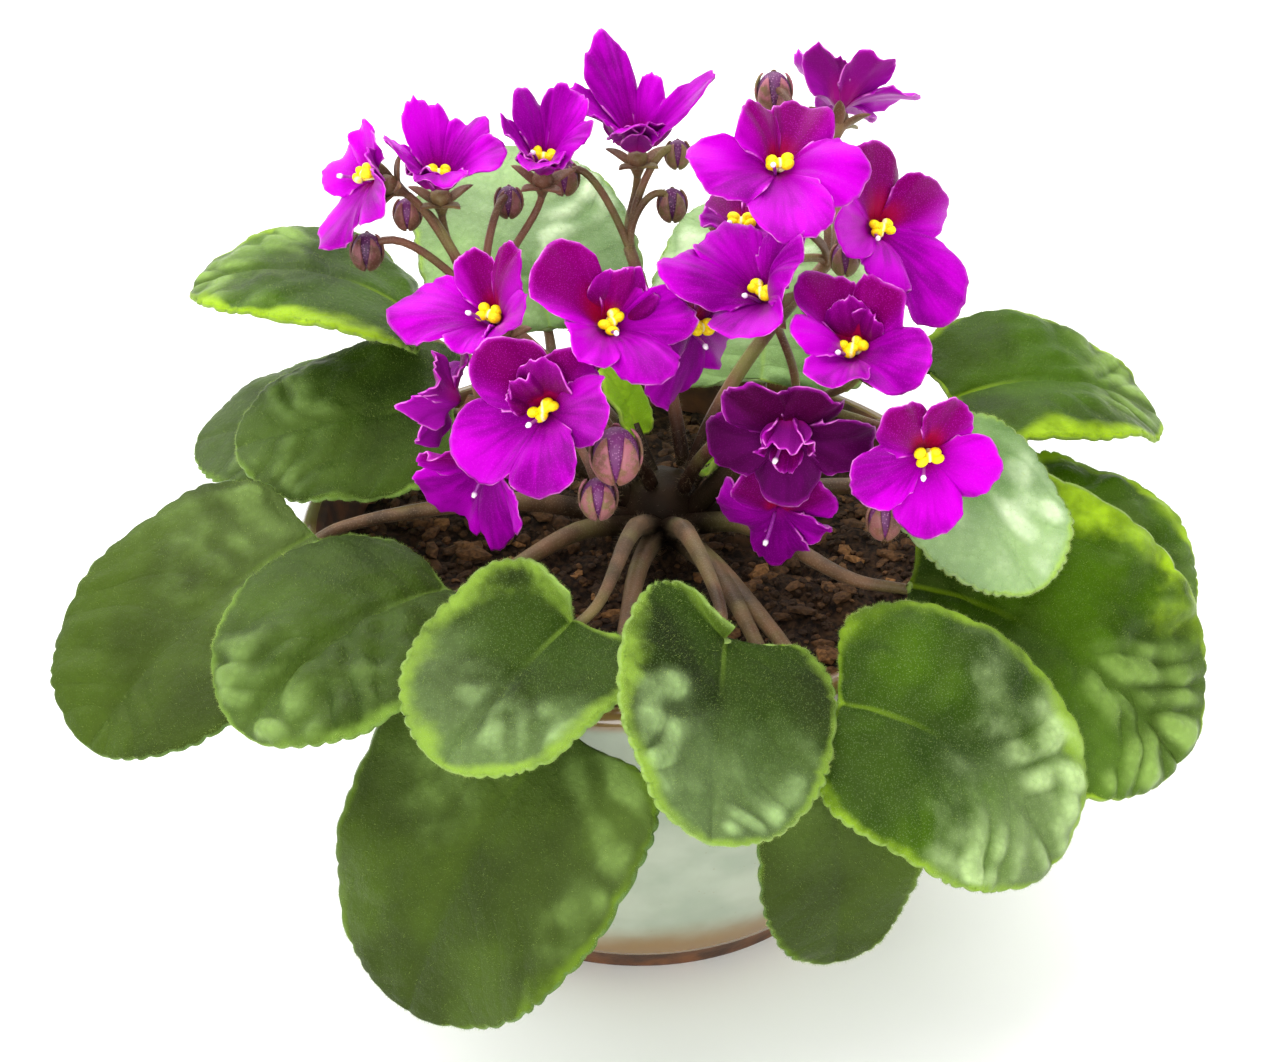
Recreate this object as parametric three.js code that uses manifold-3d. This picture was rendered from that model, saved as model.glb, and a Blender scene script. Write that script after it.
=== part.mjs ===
// A potted African violet in flower: a glazed stoneware pot, its potting soil, the short crown with all
// its petioles, the leaf blades, and five flower stalks with their blooms. Millimetres, +Z up, with the
// origin at the centre of the pot's foot. The front of the plant faces -Y.
import * as THREE from "three";
import { mergeVertices } from "three/addons/utils/BufferGeometryUtils.js";
import Module from "manifold-3d";

const wasm = await Module();
wasm.setup();

// Driving dimensions.
const GAP = 0.3; // clearance between pieces that touch
const POT = { height: 72, rimRadius: 62, footRadius: 40, wall: 4.6, floor: 6, footBand: 5, sides: 34 };
const SOIL = { level: 63, crumb: 1.4 };
const CROWN = { x: 4, y: 8, radius: 7, foot: 46, shoulder: 69, top: 77, dome: 1.5 };
const LEAF = { thickness: 1.2, rows: 13, columns: 4, tooth: 0.9 };
const YOUNG = { thickness: 1, rows: 5, columns: 2, tooth: 0 };
const PETIOLE = { root: 2.2, meet: 1.5, end: 0.8, runsUnder: 0.2 };
const PETAL = { thickness: 0.8, throat: 1.9, tube: 1.6, notch: 0.52, ruffle: 0.6 };
const PETAL_COLUMNS = [-1, -0.85, -0.35, 0.35, 0.85];
const PETAL_ROWS = [0.12, 0.55, 1];
const BLOOM = { style: 5.2, anthers: 2 };
const CALYX = { seat: 2.4, reach: 4.6, depth: 5, waist: 1.7 };
const STALK = { peduncle: 1.4, pedicel: 0.8 };

const UP = new THREE.Vector3(0, 0, 1);
const vec = (x, y, z) => new THREE.Vector3(x, y, z);
const radians = THREE.MathUtils.degToRad;

// A horizontal unit vector at a compass angle: 0 is +X, 90 is +Y and -90 is the front.
const compass = (degrees) => vec(Math.cos(radians(degrees)), Math.sin(radians(degrees)), 0);

// An indexed geometry from a list of points and a list of corner numbers.
function facets(points, faces) {
  const geometry = new THREE.BufferGeometry();
  const values = points.flatMap((point) => point.toArray());
  geometry.setAttribute("position", new THREE.Float32BufferAttribute(values, 3));
  geometry.setIndex(faces);
  return geometry;
}

// A closed three.js geometry as a solid, with the triangles that collapse to a line left out.
function solid(geometry) {
  const bare = geometry.clone();
  bare.deleteAttribute("normal");
  bare.deleteAttribute("uv");
  const merged = mergeVertices(bare, 1e-4);
  const index = merged.index.array;
  const kept = [];
  for (let i = 0; i < index.length; i += 3) {
    const [a, b, c] = [index[i], index[i + 1], index[i + 2]];
    if (a !== b && b !== c && c !== a) kept.push(a, b, c);
  }
  const vertProperties = new Float32Array(merged.attributes.position.array);
  return new wasm.Manifold(new wasm.Mesh({ numProp: 3, vertProperties, triVerts: new Uint32Array(kept) }));
}

// A solid as a three.js geometry with flat faces.
function geometryOf(body) {
  const mesh = body.getMesh();
  const geometry = new THREE.BufferGeometry();
  geometry.setAttribute("position", new THREE.BufferAttribute(new Float32Array(mesh.vertProperties), 3));
  geometry.setIndex(new THREE.BufferAttribute(new Uint32Array(mesh.triVerts), 1));
  const flat = geometry.toNonIndexed();
  flat.computeVertexNormals();
  return flat;
}

const joined = (bodies) => bodies.reduce((whole, body) => whole.add(body));

// A round stem along a curve, tapering from one radius to the other.
function stem(curve, startRadius, endRadius, sides, steps) {
  const frames = curve.computeFrenetFrames(steps, false);
  const points = [];
  for (let i = 0; i <= steps; i++) {
    const centre = curve.getPointAt(i / steps);
    const radius = startRadius + ((endRadius - startRadius) * i) / steps;
    for (let j = 0; j < sides; j++) {
      const angle = (2 * Math.PI * j) / sides;
      const across = frames.normals[i].clone().multiplyScalar(radius * Math.cos(angle));
      points.push(centre.clone().add(across).addScaledVector(frames.binormals[i], radius * Math.sin(angle)));
    }
  }
  const first = points.length;
  points.push(curve.getPointAt(0), curve.getPointAt(1));
  const faces = [];
  for (let j = 0; j < sides; j++) {
    const next = (j + 1) % sides;
    for (let i = 0; i < steps; i++) {
      const [a, b] = [i * sides + j, i * sides + next];
      faces.push(a, b, b + sides, a, b + sides, a + sides);
    }
    faces.push(first, next, j);
    faces.push(first + 1, steps * sides + j, steps * sides + next);
  }
  return solid(facets(points, faces));
}

// A thin plate over a grid: t runs from 0 at its root to 1 at its tip, and s across it from -1 to 1. Both
// faces are split into the same triangles, so that a waved plate keeps its thickness.
function plate(rows, columns, thickness, surface) {
  const points = [];
  for (const side of [0.5, -0.5]) {
    for (let i = 0; i <= rows; i++) {
      for (let j = 0; j <= columns; j++) {
        const { point, normal } = surface(i / rows, (2 * j) / columns - 1, i);
        points.push(point.clone().addScaledVector(normal, side * thickness));
      }
    }
  }
  const lower = (rows + 1) * (columns + 1);
  const at = (i, j) => i * (columns + 1) + j;
  const faces = [];
  for (let i = 0; i < rows; i++) {
    for (let j = 0; j < columns; j++) {
      const [a, b, c, d] = [at(i, j), at(i + 1, j), at(i + 1, j + 1), at(i, j + 1)];
      faces.push(a, b, c, a, c, d);
      faces.push(lower + c, lower + b, lower + a, lower + d, lower + c, lower + a);
    }
  }
  const wall = (a, b) => faces.push(a, lower + a, lower + b, a, lower + b, b);
  for (let i = 0; i < rows; i++) {
    wall(at(i, 0), at(i + 1, 0));
    wall(at(i + 1, columns), at(i, columns));
  }
  return solid(facets(points, faces));
}

// A bent surface that leaves and petals share. It starts at a point and grows forward: pitch and tip are
// its slope above forward at its root and its end, roll turns it about its midrib, cup curls its sides up
// (or down if negative) and fold raises them straight from the midrib. The function returned gives the
// surface at x along the midrib and y to the left of it.
function bent({ at, forward, up, pitch, tip, roll = 0, length, width, cup = 0, fold = 0 }) {
  const left = up.clone().cross(forward);
  const [start, end] = [radians(pitch), radians(tip)];
  const bend = (end - start) / length;
  const curl = (2 * cup) / width + 1e-6;
  const lift = radians(fold);
  return (x, y) => {
    const slope = start + bend * x;
    const tangent = forward.clone().multiplyScalar(Math.cos(slope)).addScaledVector(up, Math.sin(slope));
    const flat = left.clone().applyAxisAngle(tangent, radians(roll));
    const normal = tangent.clone().cross(flat);
    const lean = lift + curl * Math.abs(y);
    const side = Math.abs(y) < 1e-6 ? 0 : Math.sign(y);
    const point = at
      .clone()
      .addScaledVector(forward, (Math.sin(slope) - Math.sin(start)) / bend)
      .addScaledVector(up, (Math.cos(start) - Math.cos(slope)) / bend)
      .addScaledVector(flat, (side * (Math.sin(lean) - Math.sin(lift))) / curl)
      .addScaledVector(normal, (Math.cos(lift) - Math.cos(lean)) / curl);
    const face = normal.multiplyScalar(Math.cos(lean)).addScaledVector(flat, -side * Math.sin(lean));
    return { point, normal: face.normalize(), tangent };
  };
}

// The pot: a wide pan turned on the wheel, with a plain foot and a rounded rim.
function potRadius(z) {
  const share = z / POT.height;
  return POT.footRadius + (POT.rimRadius - POT.footRadius) * share * (1.35 - 0.35 * share);
}

const WALL_LEVELS = [POT.floor, 25, 48];

function makePot() {
  const { height, rimRadius, footRadius, wall, floor, footBand, sides } = POT;
  const profile = [[0, 0], [footRadius - 1.2, 0], [footRadius, 1.2], [potRadius(footBand), footBand]];
  WALL_LEVELS.slice(1).forEach((z) => profile.push([potRadius(z), z]));
  profile.push([rimRadius, height - 2.5], [rimRadius - 1.2, height - 0.4], [rimRadius - wall / 2, height]);
  profile.push([rimRadius - wall, height - 1.2]);
  WALL_LEVELS.toReversed().forEach((z) => profile.push([potRadius(z) - wall, z]));
  profile.push([0, floor]);
  return solid(new THREE.LatheGeometry(profile.map(([r, z]) => new THREE.Vector2(r, z)), sides));
}

// The soil fills the pot to a little under its rim, with its top raised into low lumps. The crown stands
// in a plain round hole in it.
function makeSoil() {
  const bottom = POT.floor + GAP;
  const inner = (z) => potRadius(z) - POT.wall - GAP - 0.25;
  const profile = [[0, bottom], [inner(bottom) - 0.4, bottom]];
  [...WALL_LEVELS.slice(1), SOIL.level - 1.2].forEach((z) => profile.push([inner(z), z]));
  const edge = inner(SOIL.level) - 0.6;
  [1, 0.82, 0.62, 0.42, 0.22, 0].forEach((share) => profile.push([edge * share, SOIL.level]));
  const geometry = new THREE.LatheGeometry(profile.map(([r, z]) => new THREE.Vector2(r, z)), 18);
  const position = geometry.attributes.position;
  for (let i = 0; i < position.count; i++) {
    if (position.getY(i) < SOIL.level - 0.1) continue;
    const [x, z] = [position.getX(i), position.getZ(i)];
    const lumps = Math.sin(x * 0.55 + 2 * Math.sin(z * 0.23)) + Math.cos(z * 0.6 + 2 * Math.sin(x * 0.3));
    position.setY(i, SOIL.level + (SOIL.crumb * lumps) / 2);
  }
  const hole = new THREE.CylinderGeometry(CROWN.radius + GAP, CROWN.radius + GAP, 40, 14);
  hole.translate(CROWN.x, CROWN.foot + 20 - GAP, -CROWN.y);
  return solid(geometry).subtract(solid(hole));
}

// The leaf blades, from the back round by the left to the front and the right: where the petiole meets
// the blade, the compass direction it grows in, its slope there and at its tip, its roll, its length and
// width, the curl and fold of its sides, and how far its lobes reach back beside the petiole.
const LEAVES = [
  [[-43, 34, 96.5], 180, 42, -26, 2, 42, 44, -0.17, 4, 0.14],
  [[-44, 22, 82], 171, -3, -24, -10, 41, 41, -0.2, 2, 0.16],
  [[-34, 10, 90], 180, -3, -21, -19, 40, 37, -0.26, 4, 0.16],
  [[-59, -17, 78.5], 221, -6, -44, -12, 52, 46, -0.12, 5, 0.12],
  [[-34, -33, 78.5], 221, 12, -38, -5, 44, 44, -0.04, 4, 0.13],
  [[-11, -53, 85.5], 228, -14, -31, -8, 33, 37, 0.09, 6, 0.16],
  [[-12, -65, 73.2], 217, -34, -72, -12, 55, 56, -0.11, 3, 0.19],
  [[14, -54, 83.5], 266, -9, -26, -26, 41, 39, 0.14, 8, 0.22],
  [[32, -68, 68.5], 285, -66, -102, -1, 40, 29, -0.14, 5, 0.16],
  [[33.6, -63, 75.6], 348, -3, -70, 28, 47, 45, -0.15, 4, 0.13],
  [[46, -32, 78.8], 346, -3, -58, 29, 58, 55, -0.02, 6, 0.18],
  [[50.6, -16.8, 98.2], 311, -22, -47, 13, 31, 29, -0.22, 4, 0.16],
  [[67, 5, 74.8], 338, -6, -44, -2, 40, 36, 0.08, 6, 0.16],
  [[58, 24, 83.5], 14, 18, -42, 8, 44, 39, -0.13, 6, 0.16],
  [[-17, 38, 91], 106, 38, 6, 0, 47, 43, -0.2, 4, 0.16],
  [[23, 34, 82], 84, 34, 2, 0, 51, 46, -0.2, 4, 0.16],
].map(leafOf);

// The young leaves still folded over the middle of the crown.
const YOUNG_LEAVES = [
  [[-0.5, 14, 82.5], 130, 62, 24, 0, 15, 8, 0.3, 16, 0.1],
  [[12.5, 6, 79], -8, 48, 4, 0, 14, 8.5, 0.3, 16, 0.1],
].map(leafOf);

function leafOf([at, toward, pitch, tip, roll, length, width, cup, fold, lobes]) {
  const place = { at: vec(...at), forward: compass(toward), up: UP };
  const form = { pitch, tip, roll, length, width, cup, fold };
  return { length, width, lobes, surface: bent({ ...place, ...form }) };
}

// A leaf blade: heart-shaped at its root, round and a little pointed at its tip, with a scalloped edge. Its
// rows run from the midrib out to the edge, as its veins do.
function makeBlade(leaf, { rows, columns, thickness, tooth } = LEAF) {
  return plate(rows, columns, thickness, (t, s, row) => {
    const angle = Math.PI * (1 - t);
    const notch = leaf.lobes * Math.exp(-(((t * Math.PI) / 0.5) ** 2));
    const apex = 0.03 * Math.exp(-((angle / 0.3) ** 2));
    const scallop = row > 0 && row < rows ? (row % 2 ? tooth : -tooth) / 2 : 0;
    const [cosine, sine] = [Math.cos(angle), Math.sin(angle)];
    const full = Math.sign(cosine) * Math.abs(cosine) ** 0.86;
    const edge = leaf.length * (0.42 + 0.58 * full + notch + apex) + scallop * cosine;
    const half = (leaf.width / 2) * Math.max(0, sine) ** 0.8 * (1 - 0.08 * cosine) + scallop * sine;
    const midrib = leaf.length * 1.03 * t ** 1.15;
    return leaf.surface(midrib + (edge - midrib) * Math.abs(s), half * s);
  });
}

// A petiole: it leaves the crown, arches over and runs on a little way under the midrib as it thins out.
function makePetiole(leaf) {
  const under = (x, radius) => {
    const { point, normal } = leaf.surface(x, 0);
    return point.addScaledVector(normal, -(LEAF.thickness / 2 + GAP + radius + 0.1));
  };
  const end = under(leaf.length * PETIOLE.runsUnder, PETIOLE.end);
  const meet = under(0, PETIOLE.meet);
  const before = meet.clone().addScaledVector(leaf.surface(0, 0).tangent, -0.16 * leaf.length);
  const axis = vec(CROWN.x, CROWN.y, CROWN.shoulder - 2);
  const outward = vec(before.x - axis.x, before.y - axis.y, 0);
  const distance = outward.length();
  outward.normalize();
  const root = axis.clone().addScaledVector(outward, 3);
  const arch = axis.clone().addScaledVector(outward, distance * 0.45);
  arch.z = axis.z + (before.z - axis.z) * 0.6 + 3;
  const path = new THREE.CatmullRomCurve3([root, arch, before, meet, end], false, "centripetal");
  return stem(path, PETIOLE.root, PETIOLE.end, 5, 5);
}

// The blooms of each stalk: the centre of the throat, the compass angle and the elevation that the bloom
// looks in, its spin about that line and its width. Then come three values for each of its five petals: its
// turn from its even place, its reach as a share of the bloom's radius, and how far it stands up from flat.
// foot is where the stalk leaves the crown and fork is where it divides. Buds give a centre and a radius.
const STALKS = [
  {
    foot: [-1, 8.5],
    fork: [-27, 20, 104],
    blooms: [
      [[-47.5, 20, 131], 205, 35, 0, 27,
        [0, 0, 0, 0, 0], [0.5, 0.75, 0.95, 1.18, 0.9], [50, 30, 10, 5, 10]],
      [[-36, 26, 127.5], -92, 78, 4, 34,
        [-10, -20, 4, 2, 10], [0.85, 0.95, 0.95, 0.9, 0.88], [38, 55, 55, 40, 38]],
      [[-17.5, 31, 128.5], -80, 74, -12, 32,
        [10, -3, -6, 0, 0], [1, 1, 0.9, 0.9, 1], [50, 60, 60, 45, 55]],
    ],
    buds: [[-49, 19, 117, 3], [-42, 26, 121, 2.6], [-24, 33, 120, 2.6]],
  },
  {
    foot: [8, 13],
    fork: [-2, 38, 108],
    blooms: [
      [[-0.5, 44, 126.8], -91, 80, 4, 36,
        [0, 2, -10, -15, 4], [0.75, 1.25, 1.05, 0.85, 1.25], [60, 60, 45, 45, 50]],
    ],
    buds: [[-14, 43, 120, 2.8], [7, 47, 123, 2.4], [6, 42, 115, 2.8]],
  },
  {
    foot: [9.5, 11],
    fork: [34, 24, 112],
    blooms: [
      [[38, 59, 128], 78, 40, 5, 31,
        [3, 0, 0, 0, -5], [0.85, 0.9, 1.05, 1.1, 0.95], [30, 30, 20, 15, 45]],
      [[23, -10, 146.8], -80, 62, -2, 34,
        [5, -2, -7, 2, -2], [0.82, 0.82, 1.05, 1.05, 0.95], [10, 50, 20, 15, 10]],
      [[41, 4, 129], -62, 26, -28, 32,
        [-15, -4, 0, 0, -15], [0.95, 1, 1.05, 1.05, 1.3], [5, 10, 40, 45, 10]],
      [[17.5, 2, 130], -98, 64, 4, 22,
        [-10, -10, 5, 15, 0], [0.85, 0.8, 0.9, 1.1, 0.85], [10, 0, 45, 25, 30]],
    ],
    buds: [[36, 8, 121, 2.6], [25, 55, 132, 3.4]],
  },
  {
    foot: [8, 4],
    fork: [26, -14, 104],
    blooms: [
      [[20.5, -21, 128.8], -118, 56, 18, 34,
        [-9, 5, -15, -3, 16], [0.85, 0.9, 1.2, 1.1, 1.2], [45, 25, 45, 40, 60]],
      [[35.5, -27, 121.5], -106, 54, 3, 32,
        [3, 0, -4, -12, -4], [0.9, 0.95, 1.1, 1.15, 1], [40, 25, 58, 50, 25]],
      [[47, -41, 110], -81, 16, 2, 28,
        [7, 0, -3, -7, 0], [0.8, 0.9, 1.05, 1, 0.95], [20, 20, 15, 10, 15]],
      [[24.5, -36, 111.5], -97, -8, 1, 32,
        [0, 5, -5, -3, 6], [0.72, 0.85, 0.95, 0.85, 0.95], [5, 10, -5, 10, -5]],
      [[23.5, -30.6, 92.5], -95, -20, -2, 24,
        [-12, -4, -6, 10, 7], [1, 0.95, 1.05, 1, 0.8], [5, 0, -25, 10, 20]],
    ],
    buds: [[41, -37, 95, 3]],
  },
  {
    foot: [2, 4.5],
    fork: [-13, -12, 100],
    blooms: [
      [[-15.3, -38, 116.5], -108, 34, 14, 32,
        [-16, 0, 10, 0, 12], [0.8, 0.95, 1.15, 1.05, 1.05], [20, 25, 5, 25, 40]],
      [[-5.3, -28, 127], -56, 44, 1, 32,
        [6, -5, 7, 0, -3], [0.72, 1.15, 0.9, 1.1, 0.92], [58, 15, 35, 38, 36]],
      [[9, -17, 121], -45, 12, -12, 25,
        [-3, 0, -5, -15, -9], [0.7, 0.9, 1.05, 1.25, 1], [5, 15, 5, -20, -10]],
      [[-25, -11, 119], 235, 60, 1, 30,
        [0, 0, 0, 0, 0], [1.25, 0.9, 1.3, 0.75, 1.15], [58, 56, 5, 30, 45]],
      [[-32, -18, 107.5], 165, 14, 1, 24,
        [0, 4, 0, -12, 10], [0.9, 0.8, 1.05, 0.95, 0.8], [25, 5, 20, 10, 50]],
      [[-25.8, -28, 100.3], 250, -35, 4, 29,
        [0, 0, 30, -2, 0], [0.9, 0.9, 1.35, 1.15, 0.85], [20, 20, 15, 35, 50]],
    ],
    buds: [[-4, -36, 107, 4.3], [-7, -35, 98, 3.2]],
  },
];

// The even places of a bloom's five petals round it: two on top, two at the sides and one below.
const PETAL_ANGLES = [54, 126, 198, 270, 342];

// A bloom's row of values with its three axes: out is the way it looks, side and up lie across it.
function bloomOf([at, azimuth, elevation, spin, width, turns, reaches, lifts]) {
  const out = compass(azimuth).multiplyScalar(Math.cos(radians(elevation)));
  out.addScaledVector(UP, Math.sin(radians(elevation)));
  const side = UP.clone().cross(out).normalize().applyAxisAngle(out, radians(spin));
  const up = out.clone().cross(side);
  const basis = new THREE.Matrix4().makeBasis(side, up, out).setPosition(...at);
  // A place in the bloom from a distance and an angle round its centre and a height above its throat.
  const place = (radius, degrees, height) =>
    compass(degrees).multiplyScalar(radius).setZ(height).applyMatrix4(basis);
  const petals = PETAL_ANGLES.map((angle, order) => {
    return { angle: angle + turns[order], reach: reaches[order], lift: lifts[order] };
  });
  return { out, side, up, basis, place, width, petals };
}

// The corolla's sheet at t from the middle of the throat (0) to the edge (1), and at s across one petal from
// -1 to 1. Neighbouring petals share their borders, where the sheet ends early in a notch. Each petal
// leaves the throat steeply and bends back to flat.
function corollaPoint(bloom, order, t, s) {
  const petal = bloom.petals[order];
  const beside = bloom.petals[(order + (s > 0 ? 1 : 4)) % 5];
  const apart = (Math.sign(s) * (beside.angle - petal.angle) + 360) % 360;
  const border = Math.abs(s) ** 3 / 2;
  const lift = petal.lift * (1 - border) + beside.lift * border;
  const share = petal.reach * (1 - border) + beside.reach * border;
  const length = (bloom.width / 2 - PETAL.throat) * share * (1 - PETAL.notch * s ** 6);
  const [start, end] = [radians(lift + 20), radians(lift - 18)];
  const along = Math.max(0, (t - 0.1) / 0.9);
  const slope = start + (end - start) * along;
  const bend = (end - start) / length;
  const run = (Math.sin(slope) - Math.sin(start)) / bend;
  const rise = (Math.cos(start) - Math.cos(slope)) / bend;
  const ruffle = PETAL.ruffle * t ** 4 * Math.sin(5 * s + order);
  const throat = Math.min(1, t / 0.1);
  const height = rise + ruffle - PETAL.tube * (1 - throat);
  return bloom.place(PETAL.throat * throat + run, petal.angle + (apart / 2) * s, height);
}

// A corolla: five petals grown together at the throat into one thin sheet, with the style standing in it.
function makeCorolla(bloom) {
  const { thickness } = PETAL;
  const columns = PETAL_ANGLES.flatMap((angle, order) => PETAL_COLUMNS.map((s) => [order, s]));
  const normalAt = (order, t, s) => {
    const radial = corollaPoint(bloom, order, t + 0.02, s).sub(corollaPoint(bloom, order, t - 0.02, s));
    const round = corollaPoint(bloom, order, t, s + 0.02).sub(corollaPoint(bloom, order, t, s - 0.02));
    return radial.cross(round).normalize();
  };
  const points = [];
  for (const side of [0.5, -0.5]) {
    points.push(bloom.place(0, 0, side * thickness - PETAL.tube));
    for (const t of PETAL_ROWS) {
      for (const [order, s] of columns) {
        const point = corollaPoint(bloom, order, t, s);
        points.push(point.addScaledVector(normalAt(order, t, s), side * thickness));
      }
    }
  }
  const count = columns.length;
  const lower = points.length / 2;
  const faces = [];
  for (let j = 0; j < count; j++) {
    const next = (j + 1) % count;
    faces.push(0, 1 + j, 1 + next, lower, lower + 1 + next, lower + 1 + j);
    for (let i = 0; i < PETAL_ROWS.length - 1; i++) {
      const [a, b] = [1 + i * count + j, 1 + i * count + next];
      faces.push(a, a + count, b + count, a, b + count, b);
      faces.push(lower + b + count, lower + a + count, lower + a, lower + b, lower + b + count, lower + a);
    }
    const [a, b] = [lower - count + j, lower - count + next];
    faces.push(a, a + lower, b + lower, a, b + lower, b);
  }
  const line = new THREE.LineCurve3(bloom.place(1.2, 235, -0.55), bloom.place(3.4, 235, BLOOM.style));
  return joined([solid(facets(points, faces)), stem(line, 0.45, 0.4, 3, 1)]);
}

// Two fat anthers side by side in the throat, joined by a narrow waist.
function makeStamens(bloom) {
  const profile = [[0, -2.1], [0.9, -1.7], [1, -0.9], [0.6, 0], [1, 0.9], [0.9, 1.7], [0, 2.1]];
  const lathe = new THREE.LatheGeometry(profile.map(([r, z]) => new THREE.Vector2(r, z)), 5);
  return solid(lathe.rotateZ(-Math.PI / 2).translate(0, 0.5, BLOOM.anthers).applyMatrix4(bloom.basis));
}

// The calyx behind a bloom: a shallow star of five sepals that narrows to the pedicel.
function makeCalyx(bloom) {
  const back = -CALYX.seat;
  const points = [];
  for (let i = 0; i < 10; i++) {
    points.push(bloom.place(i % 2 ? CALYX.waist : CALYX.reach, 36 * i + 18, back - (i % 2 ? 0 : 0.4)));
  }
  points.push(bloom.place(0, 0, back), bloom.place(0, 0, back - CALYX.depth));
  const faces = [];
  for (let i = 0; i < 10; i++) {
    const next = (i + 1) % 10;
    faces.push(10, i, next, 11, next, i);
  }
  return solid(facets(points, faces));
}

// A flower stalk: the peduncle from the crown to its fork, and a pedicel from there to each bloom and bud.
// Its foot stands on the crown's low dome.
function makeStalk({ foot, fork, blooms, buds }) {
  const away = Math.hypot(foot[0] - CROWN.x, foot[1] - CROWN.y) - STALK.peduncle;
  const start = vec(...foot, CROWN.top - (CROWN.dome * away) / (CROWN.radius * 0.8) + GAP + 0.1);
  const end = vec(...fork);
  const lift = start.clone().lerp(end, 0.2).setZ(start.z + (end.z - start.z) * 0.5);
  const peduncle = new THREE.QuadraticBezierCurve3(start, lift, end);
  const bodies = [stem(peduncle, STALK.peduncle, STALK.peduncle * 0.85, 6, 5)];
  const grown = (metres) => end.clone().addScaledVector(peduncle.getTangentAt(1), metres);
  const pedicel = (tip, before) => {
    const curve = new THREE.CubicBezierCurve3(grown(-2), grown(6), before, tip);
    return stem(curve, STALK.pedicel, STALK.pedicel * 0.9, 4, 3);
  };
  blooms.forEach((bloom) => {
    const back = CALYX.seat + CALYX.depth;
    bodies.push(makeCalyx(bloom), pedicel(bloom.place(0, 0, 1.8 - back), bloom.place(0, 0, -back - 7)));
  });
  buds.forEach(([x, y, z, radius]) => {
    const centre = vec(x, y, z);
    const bud = new THREE.SphereGeometry(radius, 6, 4).scale(0.9, 1.15, 0.9).rotateX(Math.PI / 2);
    const before = centre.clone().lerp(end, 0.3).setZ(z + radius + 5);
    bodies.push(solid(bud.translate(x, y, z)), pedicel(centre, before));
  });
  return joined(bodies);
}

// The crown: the short thick stem that stands in the soil, with every petiole and the young leaves grown
// out of it.
function makeCrown() {
  const { x, y, radius, foot, shoulder, top, dome } = CROWN;
  const profile = [[0, foot], [radius - 1, foot], [radius, foot + 3], [radius, shoulder - 6]];
  profile.push([radius * 1.1, shoulder], [radius * 0.8, top - dome], [0, top]);
  const lathe = new THREE.LatheGeometry(profile.map(([r, z]) => new THREE.Vector2(r, z)), 12);
  const body = solid(lathe.rotateX(Math.PI / 2).translate(x, y, 0));
  const young = YOUNG_LEAVES.flatMap((leaf) => {
    const stalk = new THREE.LineCurve3(vec(x, y, top - 5), leaf.surface(1.5, 0).point);
    return [makeBlade(leaf, YOUNG), stem(stalk, 1.4, 0.8, 4, 1)];
  });
  return joined([body, ...LEAVES.map(makePetiole), ...young]);
}

// Colours as the eye sees them on the plant.
const paint = (color, roughness) => new THREE.MeshStandardMaterial({ color, roughness, metalness: 0 });
const GLAZE = paint("#c9cfbd", 0.25);
const EARTH = paint("#3a281b", 0.95);
const STEMS = paint("#6b4a3f", 0.6);
const GREEN = paint("#4d7326", 0.6);
const MAGENTA = paint("#b70fb3", 0.5);
const YELLOW = paint("#f2cf10", 0.5);
const PINKISH = paint("#7a5a4c", 0.6);

const plant = new THREE.Group();
plant.name = "potted_african_violet";

// Adds a solid to the plant as a named mesh. A lathe's upright is Y, and the plant's is Z.
function add(name, body, material, upright = false) {
  const mesh = new THREE.Mesh(geometryOf(body), material);
  mesh.name = name;
  if (upright) mesh.rotation.x = Math.PI / 2;
  plant.add(mesh);
}

const numbered = (number) => String(number).padStart(2, "0");

add("pot", makePot(), GLAZE, true);
add("soil", makeSoil(), EARTH, true);
add("crown", makeCrown(), STEMS);
LEAVES.forEach((leaf, order) => add(`leaf_${numbered(order + 1)}`, makeBlade(leaf), GREEN));
let count = 0;
STALKS.forEach(({ blooms, ...stalk }, order) => {
  const flowers = blooms.map(bloomOf);
  add(`stalk_${order + 1}`, makeStalk({ ...stalk, blooms: flowers }), PINKISH);
  flowers.forEach((bloom) => {
    count += 1;
    add(`bloom_${numbered(count)}`, makeCorolla(bloom), MAGENTA);
    // Blooms 13 and 19 are only half open, and their anthers can't be seen.
    if (count !== 13 && count !== 19) add(`stamens_${numbered(count)}`, makeStamens(bloom), YELLOW);
  });
});

export default plant;
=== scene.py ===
"""The looks of a potted African violet in flower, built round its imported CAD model.

Everything is in metres in the model's own frame: +Z is up, the origin is the centre of the pot's foot and the
front of the plant faces -Y. The sections are the pot, the soil, the leaf blades, the crown with its petioles,
the flower stalks, the corollas, the anthers, and then the floor, the light and the camera.
"""

import random
from math import atan2, copysign, cos, degrees, exp, floor, hypot, pi, radians, sin, sqrt, tau

import bmesh
import bpy
import numpy as np
from mathutils import Matrix, Vector, noise


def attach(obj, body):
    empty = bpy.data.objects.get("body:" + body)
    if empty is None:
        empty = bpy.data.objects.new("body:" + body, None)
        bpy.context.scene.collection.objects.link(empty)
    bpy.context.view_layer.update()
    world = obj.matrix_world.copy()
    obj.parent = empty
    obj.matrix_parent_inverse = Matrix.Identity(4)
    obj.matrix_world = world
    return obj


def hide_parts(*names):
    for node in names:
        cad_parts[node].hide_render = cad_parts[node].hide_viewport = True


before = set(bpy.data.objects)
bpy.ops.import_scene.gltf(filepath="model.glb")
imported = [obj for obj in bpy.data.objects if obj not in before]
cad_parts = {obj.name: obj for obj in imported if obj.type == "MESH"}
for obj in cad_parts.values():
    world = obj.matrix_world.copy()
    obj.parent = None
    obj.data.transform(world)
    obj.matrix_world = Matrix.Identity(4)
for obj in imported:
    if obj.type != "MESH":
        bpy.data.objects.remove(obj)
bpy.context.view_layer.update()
MM = 0.001

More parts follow.
